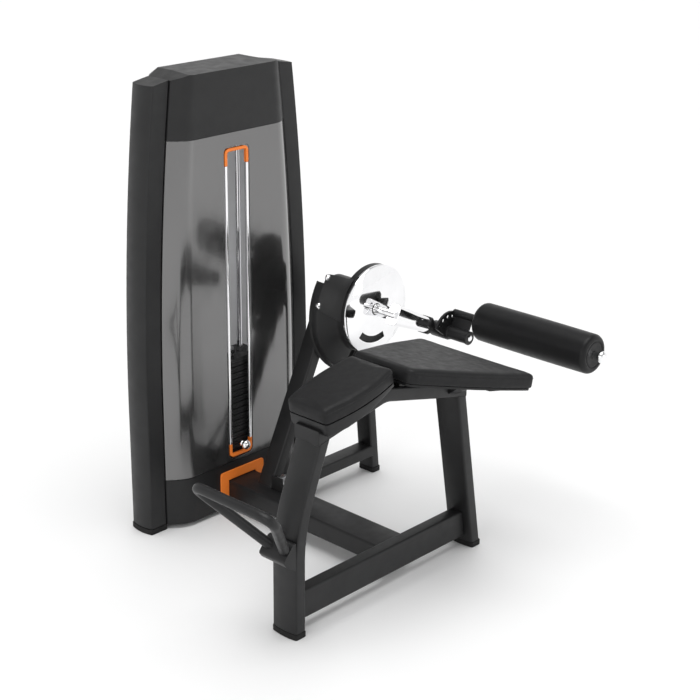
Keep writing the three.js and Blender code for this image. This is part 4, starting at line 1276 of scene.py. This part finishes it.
def index_plate():
    """Arc plate with its row of index holes, and the sleeve that it turns with."""
    back, front = INDEX_X
    outline = arc(SLEEVE, 26, 190, 380, 24) + arc(SLEEVE, INDEX_RADIUS, 52, 158, 40)
    obj = stand_for("index_plate", along_x(outline, back, front), BLACK)
    tools = [tube_x(7.6, back - 13, front + 9, index_hole(i), 0.5, 24) for i in range(4)]
    carve(obj, *[new_object("hole_tool", *tool) for tool in tools])
    smooth(obj, 35)
    soften(obj, 1, 2, 50)
    end = SLEEVE_END
    profile = [(front, 20), (front, 24), (front + 5, 24), (front + 7, 21), (end - 7, 21), (end - 6, 23),
               (end - 1, 23), (end, 22), (end, 10.4), (front, 10.4)]
    shape = lathe_x(profile, SLEEVE, 56, bored=True)
    detail("bracket_sleeve", shape, BLACK, "bracket", "frame_black")


def roller_axle():
    """Offset web from the sleeve to the roller, with the bar and the axle that it carries."""
    way = Vector(ROLLER) - Vector(SLEEVE)
    length = way.length
    way.normalize()
    side = Vector((-way.y, way.x)) * 5
    start = Vector(SLEEVE) + way * 20
    end = Vector(SLEEVE) + way * (length - 8)
    outline = [tuple(spot) for spot in (start + side, start - side, end - side, end + side)]
    web = along_x(outline, INDEX_X[1] + 0.6, 545)
    bar = tube_x(13, INDEX_X[0] + 0.6, ROLLER_X[0] + 4, ROLLER, 2)
    rod = tube_x(12, ROLLER_X[0], ROLLER_X[1] - 40, ROLLER, 2)
    stand_for("roller_axle", merge(web, bar, rod), BLACK, edge=1.2, angle=40)


def leg_roller():
    """Foam sleeve under smooth vinyl: rounded ends, each with a drawn-in ring and a domed cap."""
    start, end = ROLLER_X
    radius = ROLLER_RADIUS
    edge = 17
    rim = [(edge * (1 - sin(a)), radius - edge + edge * cos(a)) for a in levels(pi / 2, 0, 10)]
    face = [(2.5, 12.4), (2.5, 34), (1.5, 39), (3.5, 41.5), (1.2, 44)]
    left = [(start + a, r) for a, r in face] + [(start + a, r) for a, r in rim]
    body = [(start + (end - start) * t, radius + 1.2 * sin(pi * t)) for t in levels(0.1, 0.9, 12)]
    right = [(end - a, r) for a, r in reversed(rim)] + [(end - a, r) for a, r in reversed(face)]
    shape = lathe_x(left + body + right, ROLLER, 96, bored=True)
    obj = stand_for("leg_roller", shape, ROLLER_VINYL, angle=50)


def roller_knob():
    end = ROLLER_X[1]
    ball = [(end + 26 - 15 * cos(t), 0.5 + 18.5 * sin(t)) for t in levels(0.65, pi, 16)]
    profile = [(end - 38, 0), (end - 38, 11.5), (end + 12, 11.5)] + ball
    stand_for("roller_knob", lathe_x(profile, ROLLER, 56), CHROME)


def build_arm():
    stand_for("pivot_shaft", tube_x(SHAFT_RADIUS, 150, INNER_DISC_X[0] - GAP, PIVOT, 2.5, 64), STEEL)
    drive_cam()
    inner_disc()
    chrome_disc()
    arm_hub()
    lever_arm()
    arm_socket()
    pop_pin()
    index_plate()
    stand_for("sleeve_pin", tube_x(10, 398, 562, SLEEVE, 2), CHROME)
    roller_axle()
    leg_roller()
    roller_knob()


# ---------- camera, floor and light ----------
def camera():
    """Looks down on the machine from the front, on the head end's side."""
    azimuth, elevation, roll = 0.752, 0.361, 0.011
    back = Vector((sin(azimuth) * cos(elevation), -cos(azimuth) * cos(elevation), sin(elevation)))
    level = Vector((cos(azimuth), sin(azimuth), 0))
    rise = back.cross(level)
    right = level * cos(roll) + rise * sin(roll)
    up = rise * cos(roll) - level * sin(roll)
    made = bpy.data.cameras.new("camera")
    made.lens = 80.5
    made.clip_end = 200
    obj = add_object("camera", made)
    turn = Matrix((right, up, back)).transposed().to_4x4()
    obj.matrix_world = Matrix.Translation(at(3577.8, -3147.8, 2341.7)) @ turn
    bpy.context.scene.camera = obj


def soft_box(name, place, aim, size, power):
    made = bpy.data.lights.new(name, "AREA")
    made.shape = "RECTANGLE"
    made.size = size[0]
    made.size_y = size[1]
    made.energy = power
    obj = add_object(name, made)
    obj.location = place
    obj.rotation_euler = (Vector(aim) - Vector(place)).to_track_quat("-Z", "Y").to_euler()


def sky_light(strength, softness):
    """Even light from straight above, whose shadows have no hard edge."""
    made = bpy.data.lights.new("sky_light", "SUN")
    made.energy = strength
    made.angle = radians(softness)
    add_object("sky_light", made)


def pale_floor():
    reach = 60
    corners = [(-reach, -reach, 0), (reach, -reach, 0), (reach, reach, 0), (-reach, reach, 0)]
    mesh = bpy.data.meshes.new("floor")
    mesh.from_pydata(corners, [], [(0, 1, 2, 3)])
    pale = material("pale_floor", (0.88, 0.88, 0.88), 0.6, Specular_IOR_Level=0.3)
    vary_roughness(pale, noise(pale, 3, 3), 0.5, 0.6)
    mesh.materials.append(pale)
    add_object("floor", mesh)


def world_light():
    """White surroundings that are dimmer overhead than at the horizon."""
    world = bpy.data.worlds.new("studio")
    bpy.context.scene.world = world
    world.use_nodes = True
    background = world.node_tree.nodes["Background"]
    background.inputs["Color"].default_value = (1, 1, 1, 1)
    split = add_node(world, "ShaderNodeSeparateXYZ")
    link(world, add_node(world, "ShaderNodeTexCoord").outputs["Generated"], split.inputs["Vector"])
    strength = map_range(world, split.outputs["Z"], 0.25, 0.8, 1.0, 0.36)
    link(world, strength, background.inputs["Strength"])


def studio():
    pale_floor()
    world_light()
    sky_light(2.0, 50)
    for word, side in (("left", -1), ("right", 1)):
        y = TOWER_Y + side * 150
        soft_box(f"window_fill_{word}", at(70, y, 760), at(-90, y, 760), (0.08, 1.0), 0.22)
    soft_box("key_light", (1.4, -5.2, 2.6), (0, 0, 0.7), (1.6, 2.4), 30)
    soft_box("side_light", (5.2, 2.2, 1.8), (0, 0, 0.7), (1.2, 2.6), 20)
    bpy.context.scene.view_settings.view_transform = "Standard"


build_tower()
build_stack()
build_frame()
build_rear()
build_pads()
build_arm()
camera()
studio()
